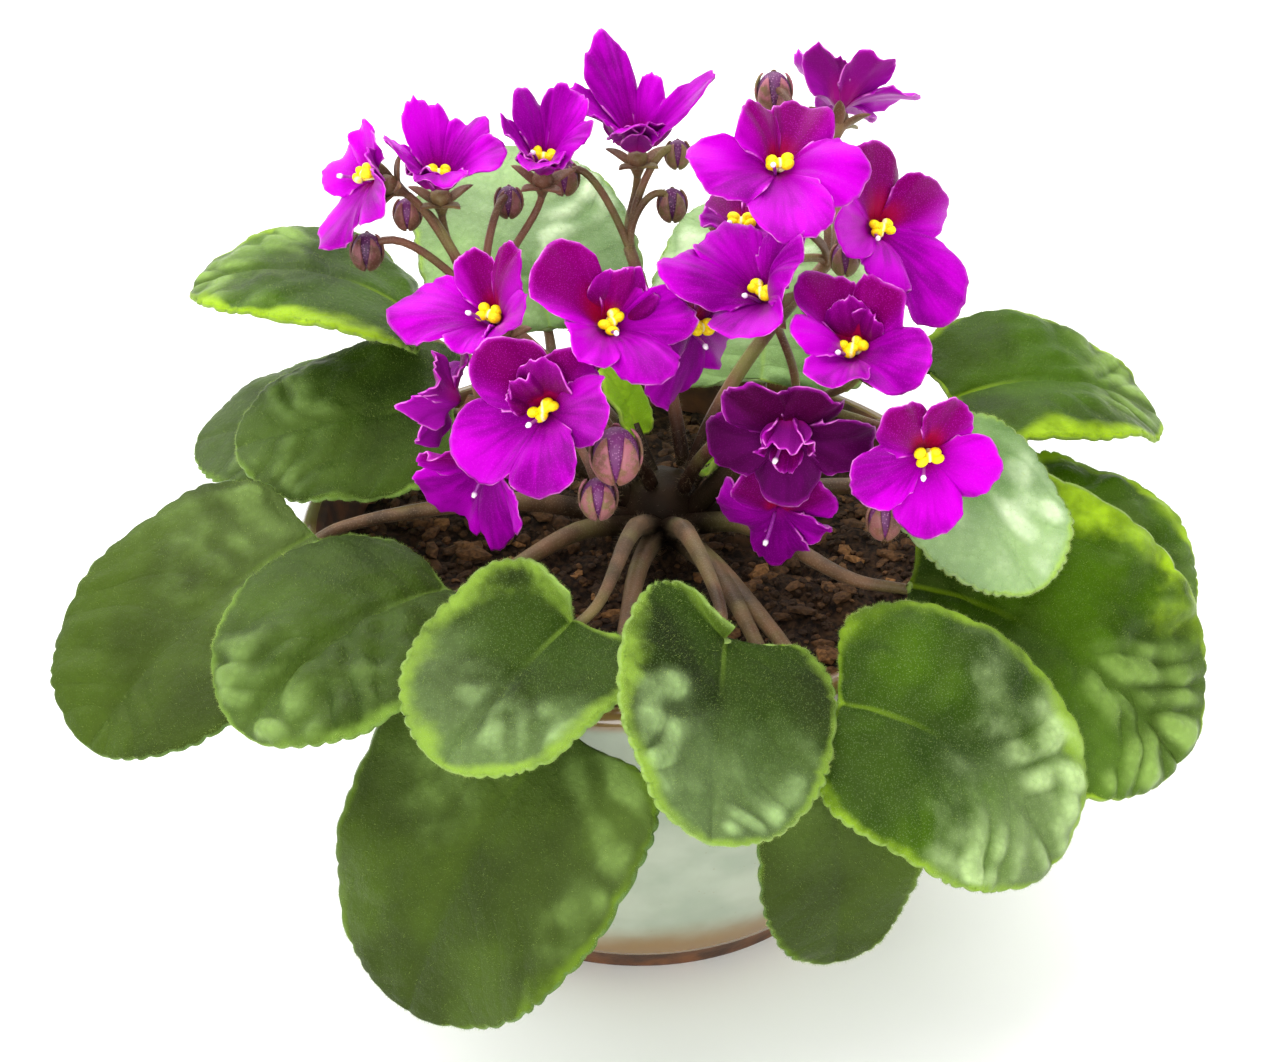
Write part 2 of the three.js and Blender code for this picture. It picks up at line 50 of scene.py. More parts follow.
# The pot is a wide stoneware pan thrown on the wheel. Its pale grey-green glaze thins to beige over the rim
# and stops in a tan line above the bare brown foot. The inside is bare clay, stained by the soil.
POT_HEIGHT, RIM_RADIUS, FOOT_RADIUS = 72 * MM, 62 * MM, 40 * MM
POT_WALL, POT_FLOOR, FOOT_BAND = 4.6 * MM, 6 * MM, 4.6 * MM
POT_STEPS = 144
THIN_AT_RIM, THIN_AT_FOOT = 5 * MM, 15 * MM  # how far from the rim and the foot band the glaze is thin
CELADON, CELADON_POOLED, GLAZE_THIN = "#a3aa97", "#8d9884", "#7f6238"
CLAY, CLAY_DARK = "#6e4425", "#3c2718"


def colour(code):
    """A colour written as #rrggbb, as the linear values that a shader takes."""
    shares = [int(code[i : i + 2], 16) / 255 for i in (1, 3, 5)]
    return (*[v / 12.92 if v <= 0.04045 else ((v + 0.055) / 1.055) ** 2.4 for v in shares], 1)


class Value:
    """What a shader node gives. It can be added to, taken from or multiplied, and each sum is a new node."""

    def __init__(self, made, output=0):
        self.tree, self.socket = made.id_data, made.outputs[output]

    def sum(self, operation, other=0.0):
        return Value(node(self.tree, "ShaderNodeMath", {0: self, 1: other}, operation=operation))

    def __add__(self, other):
        return self.sum("ADD", other)

    def __sub__(self, other):
        return self.sum("SUBTRACT", other)

    def __mul__(self, other):
        return self.sum("MULTIPLY", other)


def node(tree, kind, inputs=(), **settings):
    """A new shader node. inputs gives a plain value, or a Value to link, for each named or numbered input."""
    made = tree.nodes.new(kind)
    for key, value in settings.items():
        setattr(made, key, value)
    for key, value in dict(inputs).items():
        if isinstance(value, Value):
            tree.links.new(value.socket, made.inputs[key])
        else:
            made.inputs[key].default_value = value
    return made


def ramp(value, start, end, low=0.0, high=1.0):
    """low up to value start and high from value end on, with a smooth step between."""
    inputs = {"Value": value, "From Min": start, "From Max": end, "To Min": low, "To Max": high}
    return Value(node(value.tree, "ShaderNodeMapRange", inputs, interpolation_type="SMOOTHSTEP"))


def tint(share, first, second):
    """A mix of two colours, each a code or a Value."""
    ends = [colour(c) if isinstance(c, str) else c for c in (first, second)]
    return Value(node(share.tree, "ShaderNodeMix", {0: share, 6: ends[0], 7: ends[1]}, data_type="RGBA"), 2)


def texture(tree, kind, scale, **inputs):
    """A noise or cell texture on the piece's own place in space, with scale in features per metre."""
    place = Value(node(tree, "ShaderNodeTexCoord"), "Object")
    return Value(node(tree, f"ShaderNodeTex{kind}", {"Vector": place, "Scale": scale, **inputs}))


def mark(tree, name):
    """The value that the mesh carries under a name."""
    return Value(node(tree, "ShaderNodeAttribute", attribute_name=name), "Fac")


def bump(height, strength, depth):
    """A bump of a real depth in metres."""
    inputs = {"Height": height, "Strength": strength, "Distance": depth}
    return Value(node(height.tree, "ShaderNodeBump", inputs))


def finish_of(name, build, **constants):
    """A material on one Principled shader. build adds its nodes and returns what feeds the shader."""
    material = bpy.data.materials.new(name)
    material.use_nodes = True
    tree = material.node_tree
    tree.nodes.clear()
    inputs = {key.replace("_", " "): value for key, value in constants.items()} | build(tree)
    shader = node(tree, "ShaderNodeBsdfPrincipled", inputs)
    node(tree, "ShaderNodeOutputMaterial", {"Surface": Value(shader)})
    return material


def show(name, mesh, material, slot, *nodes):
    """Puts a finished mesh on the plant's body, in place of the CAD nodes that it stands for."""
    if isinstance(mesh, bmesh.types.BMesh):
        source, mesh = mesh, bpy.data.meshes.new(name)
        for face in source.faces:
            face.smooth = True
        source.to_mesh(mesh)
        source.free()
    piece = bpy.data.objects.new(name, mesh)
    bpy.context.scene.collection.objects.link(piece)
    mesh.materials.append(material)
    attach(piece, "root")
    if nodes:
        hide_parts(*nodes)


def pot_radius(z):
    """The outer radius of the pot's wall at a height."""
    share = z / POT_HEIGHT
    return FOOT_RADIUS + (RIM_RADIUS - FOOT_RADIUS) * share * (1.35 - 0.35 * share)


def pot_profile():
    """The half section, from the middle of the foot out, up the wall, over the rim and down inside."""
    band = pot_radius(FOOT_BAND)
    outside = [(0, 0), (FOOT_RADIUS - 1.2 * MM, 0), (FOOT_RADIUS - 0.3 * MM, 0.4 * MM)]
    outside += [(FOOT_RADIUS, 1.2 * MM), (band - 0.25 * MM, FOOT_BAND), (band, FOOT_BAND + 0.2 * MM)]
    outside += [(pot_radius(z * MM) + 0.1 * MM * sin(z * 1.1), z * MM) for z in range(6, 69, 2)]
    roll = POT_WALL / 2
    middle = (RIM_RADIUS - roll, POT_HEIGHT - roll)
    turns = [radians(a) for a in range(0, 181, 15)]
    rim = [(middle[0] + roll * cos(a), middle[1] + roll * sin(a)) for a in turns]
    inside = [(pot_radius(z * MM) - POT_WALL, z * MM) for z in range(66, 6, -4)]
    return outside + rim + inside + [(0, POT_FLOOR)]


def glaze(tree):
    drift = texture(tree, "Noise", 55, Detail=4.0)
    speck = ramp(texture(tree, "Voronoi", 420), 0.10, 0.02)
    body = tint(ramp(drift, 0.35, 0.7), CELADON, CELADON_POOLED)
    body = tint(speck * 0.35, body, GLAZE_THIN)
    body = tint(ramp(mark(tree, "thin") + drift * 0.5, 0.55, 1.1), body, GLAZE_THIN)
    clay = tint(ramp(texture(tree, "Noise", 160, Detail=5.0), 0.35, 0.65), CLAY, CLAY_DARK)
    bare = ramp(mark(tree, "bare") + drift * 0.3, 0.55, 0.7)
    grit = texture(tree, "Noise", 1500, Detail=3.0)
    return {
        "Base Color": tint(bare, body, clay),
        "Roughness": bare * 0.5 + 0.26,
        "Coat Weight": ramp(bare, 0.6, 0.1, 0.0, 0.6),
        "Normal": bump(grit * (bare * 0.9 + 0.08), 0.5, 0.25 * MM),
    }


def turned_solid(profile, steps):
    """A solid turned about the pot's axis from points of radius and height."""
    bm = bmesh.new()
    ring = [bm.verts.new((radius, 0, z)) for radius, z in profile]
    for lower, upper in zip(ring, ring[1:]):
        bm.edges.new((lower, upper))
    spin = {"cent": (0, 0, 0), "axis": (0, 0, 1), "angle": tau, "steps": steps, "use_merge": True}
    bmesh.ops.spin(bm, geom=bm.verts[:] + bm.edges[:], **spin)
    bmesh.ops.remove_doubles(bm, verts=bm.verts[:], dist=1e-6)
    bmesh.ops.recalc_face_normals(bm, faces=bm.faces[:])
    return bm


pot = turned_solid(pot_profile(), POT_STEPS)
bare, thin = pot.verts.layers.float.new("bare"), pot.verts.layers.float.new("thin")
for vert in pot.verts:
    radius = hypot(vert.co.x, vert.co.y)
    inner = radius < pot_radius(vert.co.z) - 0.7 * POT_WALL and vert.co.z > POT_FLOOR / 2
    vert[bare] = 1.0 if inner or vert.co.z < FOOT_BAND + 0.1 * MM else 0.0
    over_rim = 1 - abs(vert.co.z - POT_HEIGHT + 1 * MM) / THIN_AT_RIM
    over_foot = 1 - (vert.co.z - FOOT_BAND) / THIN_AT_FOOT
    vert[thin] = max(0.0, over_rim, over_foot)
GLAZED = finish_of("pot_glaze", glaze, Specular_IOR_Level=0.5, Coat_Roughness=0.12)
show("pot_body", pot, GLAZED, "glaze", "pot")

# The soil is a dark peat mix with chips of bark, a few of them orange-brown. It fills the pot to 9 mm under
# the rim and is only pressed down, so its top is loose crumbs.
SOIL_LEVEL, SOIL_RISE = 63 * MM, 0.7 * MM
SOIL_GAP, SOIL_STEPS, SOIL_RING = 0.55 * MM, 120, 1.6 * MM
CRUMBS, CRUMB_SIZES = 2600, (0.35, 1.0)
CHIPS, CHIP_SIZES, CHIP_LENGTHS = 320, (0.9, 1.7), (1.2, 2.6)
PEAT, PEAT_DARK, BARK, BARK_PALE = "#3c2a1a", "#150d08", "#66472a", "#94683c"


def soil_height(x, y):
    """The height of the soil's top: low lumps, and rough peat on them."""
    x, y = x / MM, -y / MM
    lumps = sin(x * 0.55 + 2 * sin(y * 0.23)) + cos(y * 0.6 + 2 * sin(x * 0.3))
    rough = noise.fractal(Vector((x, y, 0)) * 0.45, 1.0, 2.0, 4)
    return SOIL_LEVEL + SOIL_RISE * lumps + 0.9 * MM * rough


def strewn(name, shape, frames, tones=None):
    """One mesh of many placed copies of a small shape. frames is an array of 4x4 matrices. Each copy carries
    its tone, a number from 0 to 1."""
    corners = np.array([v.co for v in shape.verts])
    faces = np.array([[v.index for v in face.verts] for face in shape.faces])
    points = np.einsum("nij,kj->nki", frames[:, :3, :3], corners) + frames[:, None, :3, 3]
    numbers = faces[None] + (np.arange(len(frames)) * len(corners))[:, None, None]
    mesh = bpy.data.meshes.new(name)
    mesh.from_pydata(points.reshape(-1, 3), [], numbers.reshape(-1, faces.shape[1]))
    if tones is not None:
        tone = mesh.attributes.new("tone", "FLOAT", "POINT")
        tone.data.foreach_set("value", np.repeat(tones, len(corners)).astype(np.float32))
    shape.free()
    return mesh


def peat(tree):
    grain = texture(tree, "Noise", 900, Detail=6.0)
    patch = texture(tree, "Noise", 130, Detail=3.0)
    body = tint(ramp(grain, 0.35, 0.7), PEAT_DARK, PEAT)
    body = tint(ramp(patch, 0.55, 0.75) * 0.35, body, BARK)
    return {"Base Color": body, "Normal": bump(grain, 0.9, 0.6 * MM)}


def bark(tree):
    tone = mark(tree, "tone")
    grain = texture(tree, "Noise", 1300, Detail=5.0)
    body = tint(ramp(tone, 0.5, 0.8), PEAT, BARK)
    body = tint(ramp(tone, 0.9, 1.0), body, BARK_PALE)
    body = tint(ramp(grain, 0.3, 0.75, 0.0, 0.7), body, PEAT_DARK)
    return {"Base Color": body, "Normal": bump(grain, 0.8, 0.4 * MM)}


edge = pot_radius(SOIL_LEVEL) - POT_WALL - SOIL_GAP
levels = [(0, POT_FLOOR + 0.3 * MM)]
levels += [(pot_radius(z * MM) - POT_WALL - SOIL_GAP, z * MM) for z in (6.3, 20, 34, 48, 58, 61)]
levels += [(edge - k * SOIL_RING, SOIL_LEVEL) for k in range(int(edge / SOIL_RING) + 1)] + [(0, SOIL_LEVEL)]
soil = turned_solid(levels, SOIL_STEPS)
for vert in soil.verts:
    if vert.co.z > SOIL_LEVEL - 0.1 * MM:
        vert.co.z = soil_height(vert.co.x, vert.co.y)
show("soil_body", soil, finish_of("peat", peat, Roughness=0.95, Specular_IOR_Level=0.2), "soil", "soil")

draw = random.Random(11)
frames, tones = [], []
for order in range(CRUMBS + CHIPS):
    chip = order >= CRUMBS
    away = (edge - 2 * MM) * sqrt(draw.random())
    turn = draw.uniform(0, tau)
    x, y = away * cos(turn), away * sin(turn)
    size = draw.uniform(*(CHIP_SIZES if chip else CRUMB_SIZES)) * MM
    place = Matrix.Translation((x, y, soil_height(x, y) + 0.3 * size))
    spun = Matrix.Rotation(draw.uniform(0, tau), 4, "Z") @ Matrix.Rotation(draw.uniform(-0.5, 0.5), 4, "X")
    length = size * draw.uniform(*CHIP_LENGTHS) if chip else size
    frames.append(place @ spun @ Matrix.Diagonal((length, size, size * draw.uniform(0.35, 0.9), 1)))
    tones.append(draw.uniform(0.55, 1) if chip else draw.uniform(0, 0.8))
crumb = bmesh.new()
bmesh.ops.create_icosphere(crumb, subdivisions=1, radius=1)
for vert in crumb.verts:
    vert.co *= 1 + 0.35 * noise.noise(vert.co * 2.3)
crumbs = strewn("soil_crumbs", crumb, np.array(frames), np.array(tones))
show("soil_crumbs", crumbs, finish_of("bark", bark, Roughness=0.9, Specular_IOR_Level=0.25), "soil")

# The leaf blades are thick, velvety and broadly oval, softly quilted between sunken side veins, with a
# scalloped edge that light shines through, which is painted as a brighter margin. Each row gives where the
# petiole meets the blade, the compass direction it grows in, its slope there and at its tip, its roll,
# length, width, the curl and fold of its sides, and how far its lobes reach back beside the petiole.
LEAVES = [
    [(-43, 34, 96.5), 180, 42, -26, 2, 42, 44, -0.17, 4, 0.14],
    [(-44, 22, 82), 171, -3, -24, -10, 41, 41, -0.2, 2, 0.16],
    [(-34, 10, 90), 180, -3, -21, -19, 40, 37, -0.26, 4, 0.16],
    [(-59, -17, 78.5), 221, -6, -44, -12, 52, 46, -0.12, 5, 0.12],
    [(-34, -33, 78.5), 221, 12, -38, -5, 44, 44, -0.04, 4, 0.13],
    [(-11, -53, 85.5), 228, -14, -31, -8, 33, 37, 0.09, 6, 0.16],
    [(-12, -65, 73.2), 217, -34, -72, -12, 55, 56, -0.11, 3, 0.19],
    [(14, -54, 83.5), 266, -9, -26, -26, 41, 39, 0.14, 8, 0.22],
    [(32, -68, 68.5), 285, -66, -102, -1, 40, 29, -0.14, 5, 0.16],
    [(33.6, -63, 75.6), 348, -3, -70, 28, 47, 45, -0.15, 4, 0.13],
    [(46, -32, 78.8), 346, -3, -58, 29, 58, 55, -0.02, 6, 0.18],
    [(50.6, -16.8, 98.2), 311, -22, -47, 13, 31, 29, -0.22, 4, 0.16],
    [(67, 5, 74.8), 338, -6, -44, -2, 40, 36, 0.08, 6, 0.16],
    [(58, 24, 83.5), 14, 18, -42, 8, 44, 39, -0.13, 6, 0.16],
    [(-17, 38, 91), 106, 38, 6, 0, 47, 43, -0.2, 4, 0.16],
    [(23, 34, 82), 84, 34, 2, 0, 51, 46, -0.2, 4, 0.16],
]
LEAF_THICKNESS = 1.1 * MM
# A sheet's measures are its rows, its columns, its thickness and how far in from its edge it is rounded.
LEAF_SHEET = 136, 36, LEAF_THICKNESS, 1 * MM
TEETH, TOOTH = 22, 0.7 * MM
BLADE_MARKS = ("across", "veins", "puff", "far", "margin")
VEIN_STEP = 7.4 * MM
# How high each blade swells between its veins. The lobes of leaves 6 and 8 also stand up on the right.
QUILT = dict.fromkeys(range(1, 17), 0.9 * MM) | {4: 0.6 * MM, 5: 1.6 * MM, 7: 0.5 * MM, 8: 1.3 * MM}
QUILT |= {9: 0.4 * MM, 10: 1.6 * MM, 11: 1.9 * MM}
RAISED_LOBES = {6: 7 * MM, 8: 5 * MM}
# The width of the margin's painted glow, where light would shine through the thin edge, on the left side, on
# the right side and round the tip, in mm.
GLOW_MARGINS = dict.fromkeys(range(1, 17), (1.2, 1.2, 1.2))
GLOW_MARGINS |= {1: (4, 2.5, 1), 3: (2.2, 1.2, 1), 4: (0.5, 0.5, 0.5), 5: (2.4, 2, 3), 6: (2.6, 4.5, 4)}
GLOW_MARGINS |= {7: (3.5, 2.5, 0.4), 8: (1.6, 4.5, 1.6), 10: (4.2, 2.2, 2.2), 11: (6.5, 0.8, 0.4)}
GLOW_MARGINS |= {13: (4.5, 2, 1), 14: (2.5, 5, 1)}
LEAF_HAIRS, HAIR_LENGTH, HAIR_RADIUS = 7500, 0.55 * MM, 0.018 * MM
UP = Vector((0, 0, 1))


def compass(angle):
    """A level unit vector at a compass angle in degrees: 0 is +X, 90 is +Y and -90 is the front."""
    return Vector((cos(radians(angle)), sin(radians(angle)), 0))


def waver(x, y, z):
    """A smooth random number from about -1 to 1 that depends on three others."""
    return noise.noise(Vector((x, y, z)))


def bent(at, forward, up, pitch, tip, roll, length, width, cup, fold):
    """A sheet that grows forward from a point and bends evenly from one slope to the other. The function
    returned gives the point, the normal and the heading at x along the midrib and y to its left."""
    left = up.cross(forward)
    start, end, lift = radians(pitch), radians(tip), radians(fold)
    bend = (end - start) / length
    curl = 2 * cup / width + 1e-3

    def surface(x, y):
        slope = start + bend * x
        heading = forward * cos(slope) + up * sin(slope)
        flat = Matrix.Rotation(radians(roll), 3, heading) @ left
        normal = heading.cross(flat)
        lean = lift + curl * abs(y)
        side = 0 if abs(y) < 1e-9 else copysign(1, y)
        point = at + forward * ((sin(slope) - sin(start)) / bend)
        point = point + up * ((cos(start) - cos(slope)) / bend)
        point = point + flat * (side * (sin(lean) - sin(lift)) / curl)
        point = point + normal * ((cos(lift) - cos(lean)) / curl)
        return point, (normal * cos(lean) - flat * side * sin(lean)).normalized(), heading

    return surface


def leaf_of(at, toward, pitch, tip, roll, length, width, cup, fold, lobes):
    """One row of the leaf table as its length, width and lobes, and its surface in metres."""
    form = [pitch, tip, roll, length * MM, width * MM, cup, fold]
    return length * MM, width * MM, lobes, bent(Vector(at) * MM, compass(toward), UP, *form)


def sheet(bm, rows, columns, thickness, edge, form, marks=()):
    """Adds a thin closed sheet to a bmesh: a grid whose two faces meet in a rounded edge. form gives, at t
    along it (0 to 1) and s across it (-1 to 1), a point, its distance in from the edge, and a value for each
    of the marks named."""
    layers = bm.verts.layers.float
    for key in ("inset", "under", *marks):
        if key not in layers:
            layers.new(key)
    inset, under = layers["inset"], layers["under"]
    grid = bmesh.ops.create_grid(bm, x_segments=rows, y_segments=columns, size=1)["verts"]
    for vert in grid:
        u = vert.co.y
        s = 0.45 * u + 0.55 * sin(u * pi / 2)
        vert.co, vert[inset], *values = form((vert.co.x + 1) / 2, s)
        for key, value in zip(marks, values):
            vert[layers[key]] = value
    bmesh.ops.remove_doubles(bm, verts=grid, dist=1e-7)
    grid = [vert for vert in grid if vert.is_valid]
    faces = list({face for vert in grid for face in vert.link_faces})
    for face in faces:
        face.normal_update()
    for vert in grid:
        vert.normal_update()
    twins = bmesh.ops.duplicate(bm, geom=grid + list({e for v in grid for e in v.link_edges}) + faces)
    below = [twins["vert_map"][vert] for vert in grid]
    for vert, twin in zip(grid, below):
        share = 1 - min(1.0, vert[inset] / edge)
        shift = vert.normal * (thickness / 2 * sqrt(max(0.0, 1 - share * share)))
        twin.co = vert.co - shift
        vert.co = vert.co + shift
        twin[under] = 1.0
        vert[inset] = twin[inset] = vert[inset] / MM
    bmesh.ops.reverse_faces(bm, faces=list({face for vert in below for face in vert.link_faces}))
    bmesh.ops.remove_doubles(bm, verts=grid + below, dist=1e-7)


def blade_form(leaf, teeth, tooth, quilt, seed, raised=0.0, glow_margins=(1, 1, 1)):
    """The form of one blade for sheet(): lobed at its root, full and round and a little pointed at its tip,
    with its rows running from the midrib out to the edge. raised lifts the lobe on its right."""
    length, width, lobes, surface = leaf

    def slow(x, y, scale, shift=0.0):
        return noise.noise(Vector((x, y, (seed + shift) / scale)) * scale)

    def form(t, s):
        angle = pi * (1 - t)
        cosine, sine = cos(angle), max(0.0, sin(angle))
        full = copysign(abs(cosine) ** 0.86, cosine)
        notch = lobes * exp(-((t * pi / 0.5) ** 2))
        apex = 0.03 * exp(-((angle / 0.3) ** 2))
        side = 1 if s > 0 else -1
        wander = waver(t * 9, side * 5.0, seed)
        uneven = 1 + 0.7 * waver(t * 23, side * 7.0, seed)
        scallop = tooth * uneven * (abs(sin(pi * (teeth * t + 0.7 * wander))) ** 0.6 - 0.62)
        scallop *= abs(s) ** 6 * min(1.0, 8 * t, 8 * (1 - t))
        edge = length * (0.42 + 0.58 * full + notch + apex)
        half = width / 2 * sine**0.8 * (1 - 0.08 * cosine)
        midrib = length * 1.03 * t**1.15
        x = midrib + (edge - midrib) * abs(s) + scallop * cosine
        y = (half * abs(s) + scallop * sine) * side
        row = hypot(edge - midrib, half)
        across = abs(y)
        inset = (1 - abs(s)) * row
        fan = 0.15 + 0.6 * min(1.0, max(0.0, (x / length + 0.1) / 0.8))
        veins = (x - across * fan * (1 + 9 * across)) / VEIN_STEP + 1.1 * slow(x, y, 70) + 0.3 * side
        cell = veins - floor(veins)
        pillow = sin(pi * cell) ** 1.6
        blister = 0.5 + 1.3 * slow(x, y, 210, 3)
        patch = min(1.0, max(0.0, 0.55 + 2.6 * slow(x, y, 48, 5)))
        puff = 0.6 * pillow * (0.3 + 0.7 * patch) + 0.7 * blister * (0.2 + 0.8 * patch)
        puff *= min(1.0, across / (2.5 * MM))
        puff *= min(1.0, inset / (3 * MM))
        wave = 2.2 * MM * slow(x, y, 42, 7) * min(1.0, across / (8 * MM))
        ripple = waver(t * 8, side * 3.0, seed + 2)
        frill = 1.6 * MM * abs(s) ** 4 * ripple * min(1.0, 6 * (1 - t))
        groove = -0.3 * MM * exp(-((across / (0.9 * MM)) ** 2)) * min(1.0, inset / (2 * MM))
        lobe = raised * max(0.0, -s) ** 1.6 * exp(-((t / 0.24) ** 2))
        point, normal, _ = surface(x, y)
        point = point + normal * (quilt * (puff - 0.3) + wave + frill + groove + lobe)
        tipward = min(1.0, max(0.0, 3 * t - 2))
        # The width of the margin's painted glow at this point.
        band = (glow_margins[s < 0] * (1 - tipward) + glow_margins[2] * tipward) * MM * (1 + 1.5 * slow(x, y, 95, 9))
        margin = 1 - inset / max(band, 0.3 * MM)
        return point, inset, across / MM, veins, puff, x / length, margin

    return form


def grow_hairs(name, bm, count, length, slot, material, seed, crowd=None):
    """A piece of fine hairs over a bmesh, spread by area. crowd says how much denser they stand on a face."""
    draw = random.Random(seed)
    faces = list(bm.faces)
    weights = [face.calc_area() * (crowd(face) if crowd else 1) for face in faces]
    roots, along = [], []
    for face in draw.choices(faces, weights, k=count):
        a, b, c = draw.sample([vert.co for vert in face.verts], 3)
        u, v = sorted((draw.random(), draw.random()))
        roots.append(a * u + b * (v - u) + c * (1 - v))
        lean = Vector([draw.gauss(0, 0.32) for _ in range(3)])
        along.append((face.normal + lean).normalized() * length * draw.uniform(0.5, 1.25))
    along = np.array(along)
    side = np.cross(along, (0.31, 0.52, 0.8))
    side *= HAIR_RADIUS / np.linalg.norm(side, axis=1, keepdims=True)
    other = np.cross(along, side)
    other *= HAIR_RADIUS / np.linalg.norm(other, axis=1, keepdims=True)
    frames = np.zeros((count, 4, 4))
    frames[:, :3, 0], frames[:, :3, 1], frames[:, :3, 2], frames[:, :3, 3] = side, other, along, roots
    spike = bmesh.new()
    bmesh.ops.create_cone(spike, cap_ends=True, segments=3, radius1=1, radius2=0, depth=1)
    bmesh.ops.translate(spike, verts=spike.verts[:], vec=(0, 0, 0.42))
    bmesh.ops.remove_doubles(spike, verts=spike.verts[:], dist=1e-4)
    bmesh.ops.triangulate(spike, faces=spike.faces[:])
    spike.verts.index_update()
    show(name, strewn(name, spike, frames), material, slot)


def make_grain():
    """A node group that the plant's skins share: fine grain as a height, bright points and a slow mottle."""
    group = bpy.data.node_groups.new("skin_grain", "ShaderNodeTree")
    group.interface.new_socket("Fineness", in_out="INPUT", socket_type="NodeSocketFloat")
    for key in GRAIN_OUTPUTS:
        group.interface.new_socket(key, in_out="OUTPUT", socket_type="NodeSocketFloat")
    fineness = Value(node(group, "NodeGroupInput"), "Fineness")
    points = ramp(texture(group, "Voronoi", fineness * 1.3), 0.42, 0.12)
    height = points * 0.6 + texture(group, "Noise", fineness, Detail=3.0, Roughness=0.6)
    mottle = ramp(texture(group, "Noise", 110, Detail=4.0), 0.32, 0.68)
    node(group, "NodeGroupOutput", dict(zip(GRAIN_OUTPUTS, (height, points, mottle))))
    return group


GRAIN_OUTPUTS = ("Height", "Points", "Mottle")
GRAIN = make_grain()


def grain_of(tree, fineness):
    """The grain's outputs, with its points spaced fineness to the metre."""
    made = node(tree, "ShaderNodeGroup", {"Fineness": fineness}, node_tree=GRAIN)
    return {key: Value(made, key) for key in GRAIN_OUTPUTS}


def leaf_finish(name, deep, fresh, sheen_and_hair, margin, back, sheen_from, toward=1.0):
    """The skin of a blade: deep and fresh green in broad patches, with a painted grey sheen from the given
    share of its length on (or back from there, with toward at -1), strongest on its swellings, where its
    velvety hairs would catch the light, a painted glow in a margin of uneven width, where light would shine
    through the edge, and painted shade along its sunken veins."""

    def skin(tree):
        grain = grain_of(tree, 2300)
        inset, across, puff, far = [mark(tree, key) for key in ("inset", "across", "puff", "far")]
        # A mask along the sunken side veins; below, it darkens them as painted shade in their grooves.
        beside_vein = ((mark(tree, "veins") + 0.5).sum("FRACT") - 0.5).sum("ABSOLUTE")
        veins = ramp(beside_vein, 0.1, 0.01) * ramp(texture(tree, "Noise", 75, Detail=2.0), 0.4, 0.65)
        rib = ramp(across, 0.9, 0.15) * ramp(far, 0.4, 0.1)
        net = ramp(texture(tree, "Voronoi", 700), 0.2, 0.65)
        broad = texture(tree, "Noise", 46, Detail=4.0)
        body = tint(ramp(broad, 0.38, 0.64), deep, fresh)
        body = tint(grain["Mottle"] * 0.25, body, fresh)
        # The painted sheen: grey-green where the velvety hairs would catch the light, by the share of the
        # length and on the swellings.
        painted_sheen = far * toward + texture(tree, "Noise", 66, Detail=5.0) * 1.15
        painted_sheen = ramp(painted_sheen, sheen_from + 0.5, sheen_from + 1.05) * ramp(puff, 0.2, 1.0, 0.2, 0.95)
        body = tint(painted_sheen, body, sheen_and_hair)
        # Painted shade in the sunken vein grooves.
        body = tint(veins * 0.16, body, deep)
        body = tint(net * 0.14, body, deep)
        body = tint(rib * 0.3, body, margin)
        # The margin's painted glow, where light would shine through the thin edge, in uneven patches.
        glow = mark(tree, "margin") + (broad * 1.2 + texture(tree, "Noise", 340, Detail=4.0) * 0.6)
        patches = ramp(texture(tree, "Noise", 85, Detail=4.0), 0.34, 0.58, 0.35, 1.0)
        body = tint(ramp(glow, 0.9, 1.8, 0.0, 0.85) * patches, body, margin)
        body = tint(ramp(inset, 0.6, 0.1, 0.0, 0.5), body, back)
        # Pale specks of hair, in the sheen's colour.
        body = tint(grain["Points"] * 0.12, body, sheen_and_hair)
        body = tint(mark(tree, "under"), body, back)
        height = grain["Height"] - net * 0.6 - veins * 0.6
        rough = ramp(grain["Points"], 0.0, 1.0, 0.42, 0.6)
        return {"Base Color": body, "Roughness": rough, "Normal": bump(height, 0.5, 0.2 * MM)}

    sheens = {"Sheen_Weight": 0.02, "Sheen_Roughness": 0.4, "Sheen_Tint": colour("#cfe070")}
    glow = {"Subsurface_Weight": 0.08, "Subsurface_Radius": (0.5, 1.0, 0.1), "Subsurface_Scale": 0.8 * MM}
    return finish_of(name, skin, Specular_IOR_Level=0.2, Specular_Tint=colour("#c8d878"), **sheens, **glow)


# Each skin has the leaves that wear it, its name, its colours (deep, fresh, the painted sheen, the margin
# with its painted glow and the pale midrib, and the back) and where along the blade its painted sheen starts.
# leaf_bright_edged is a darker copy that paints shade on leaves 6 and 8, and leaf_dark_green paints its sheen
# back towards the root, which leaves the tips of leaves 4, 7 and 9 in painted shade.
LEAF_SKINS = {}
for wearers, *row in [
    ((1, 11, 13, 14), "leaf_deep_yellow_green", "#1c2f04", "#345202", "#84a250", "#96b81e", "#7c9446", 0.55),
    ((10,), "leaf_yellow_green", "#1e320a", "#38540c", "#b0ca88", "#7c9c24", "#809a4c", 0.4),
    ((6, 8), "leaf_bright_edged", "#121c08", "#263a0c", "#a2c07c", "#7a9834", "#849e54", 0.42),
    ((2, 3, 5), "leaf_green", "#1b290b", "#2f430f", "#748e4c", "#6c8a34", "#74904a", 0.55),
    ((4, 7, 9), "leaf_dark_green", "#263211", "#384a15", "#688040", "#56701a", "#587240", -0.5, -1.0),
    ((12, 15, 16), "leaf_grey_green", "#4c6c3a", "#7f9f60", "#c0d2aa", "#90b040", "#96a87a", 0.15),
]:
    LEAF_SKINS |= dict.fromkeys(wearers, leaf_finish(*row))


def hair_finish(name, pale, dark):
    """A plain finish for hairs, pale in some places and dark in others."""

    def hair(tree):
        return {"Base Color": tint(ramp(texture(tree, "Noise", 300, Detail=2.0), 0.3, 0.7), pale, dark)}

    return finish_of(name, hair, Roughness=0.6, Specular_IOR_Level=0.3)


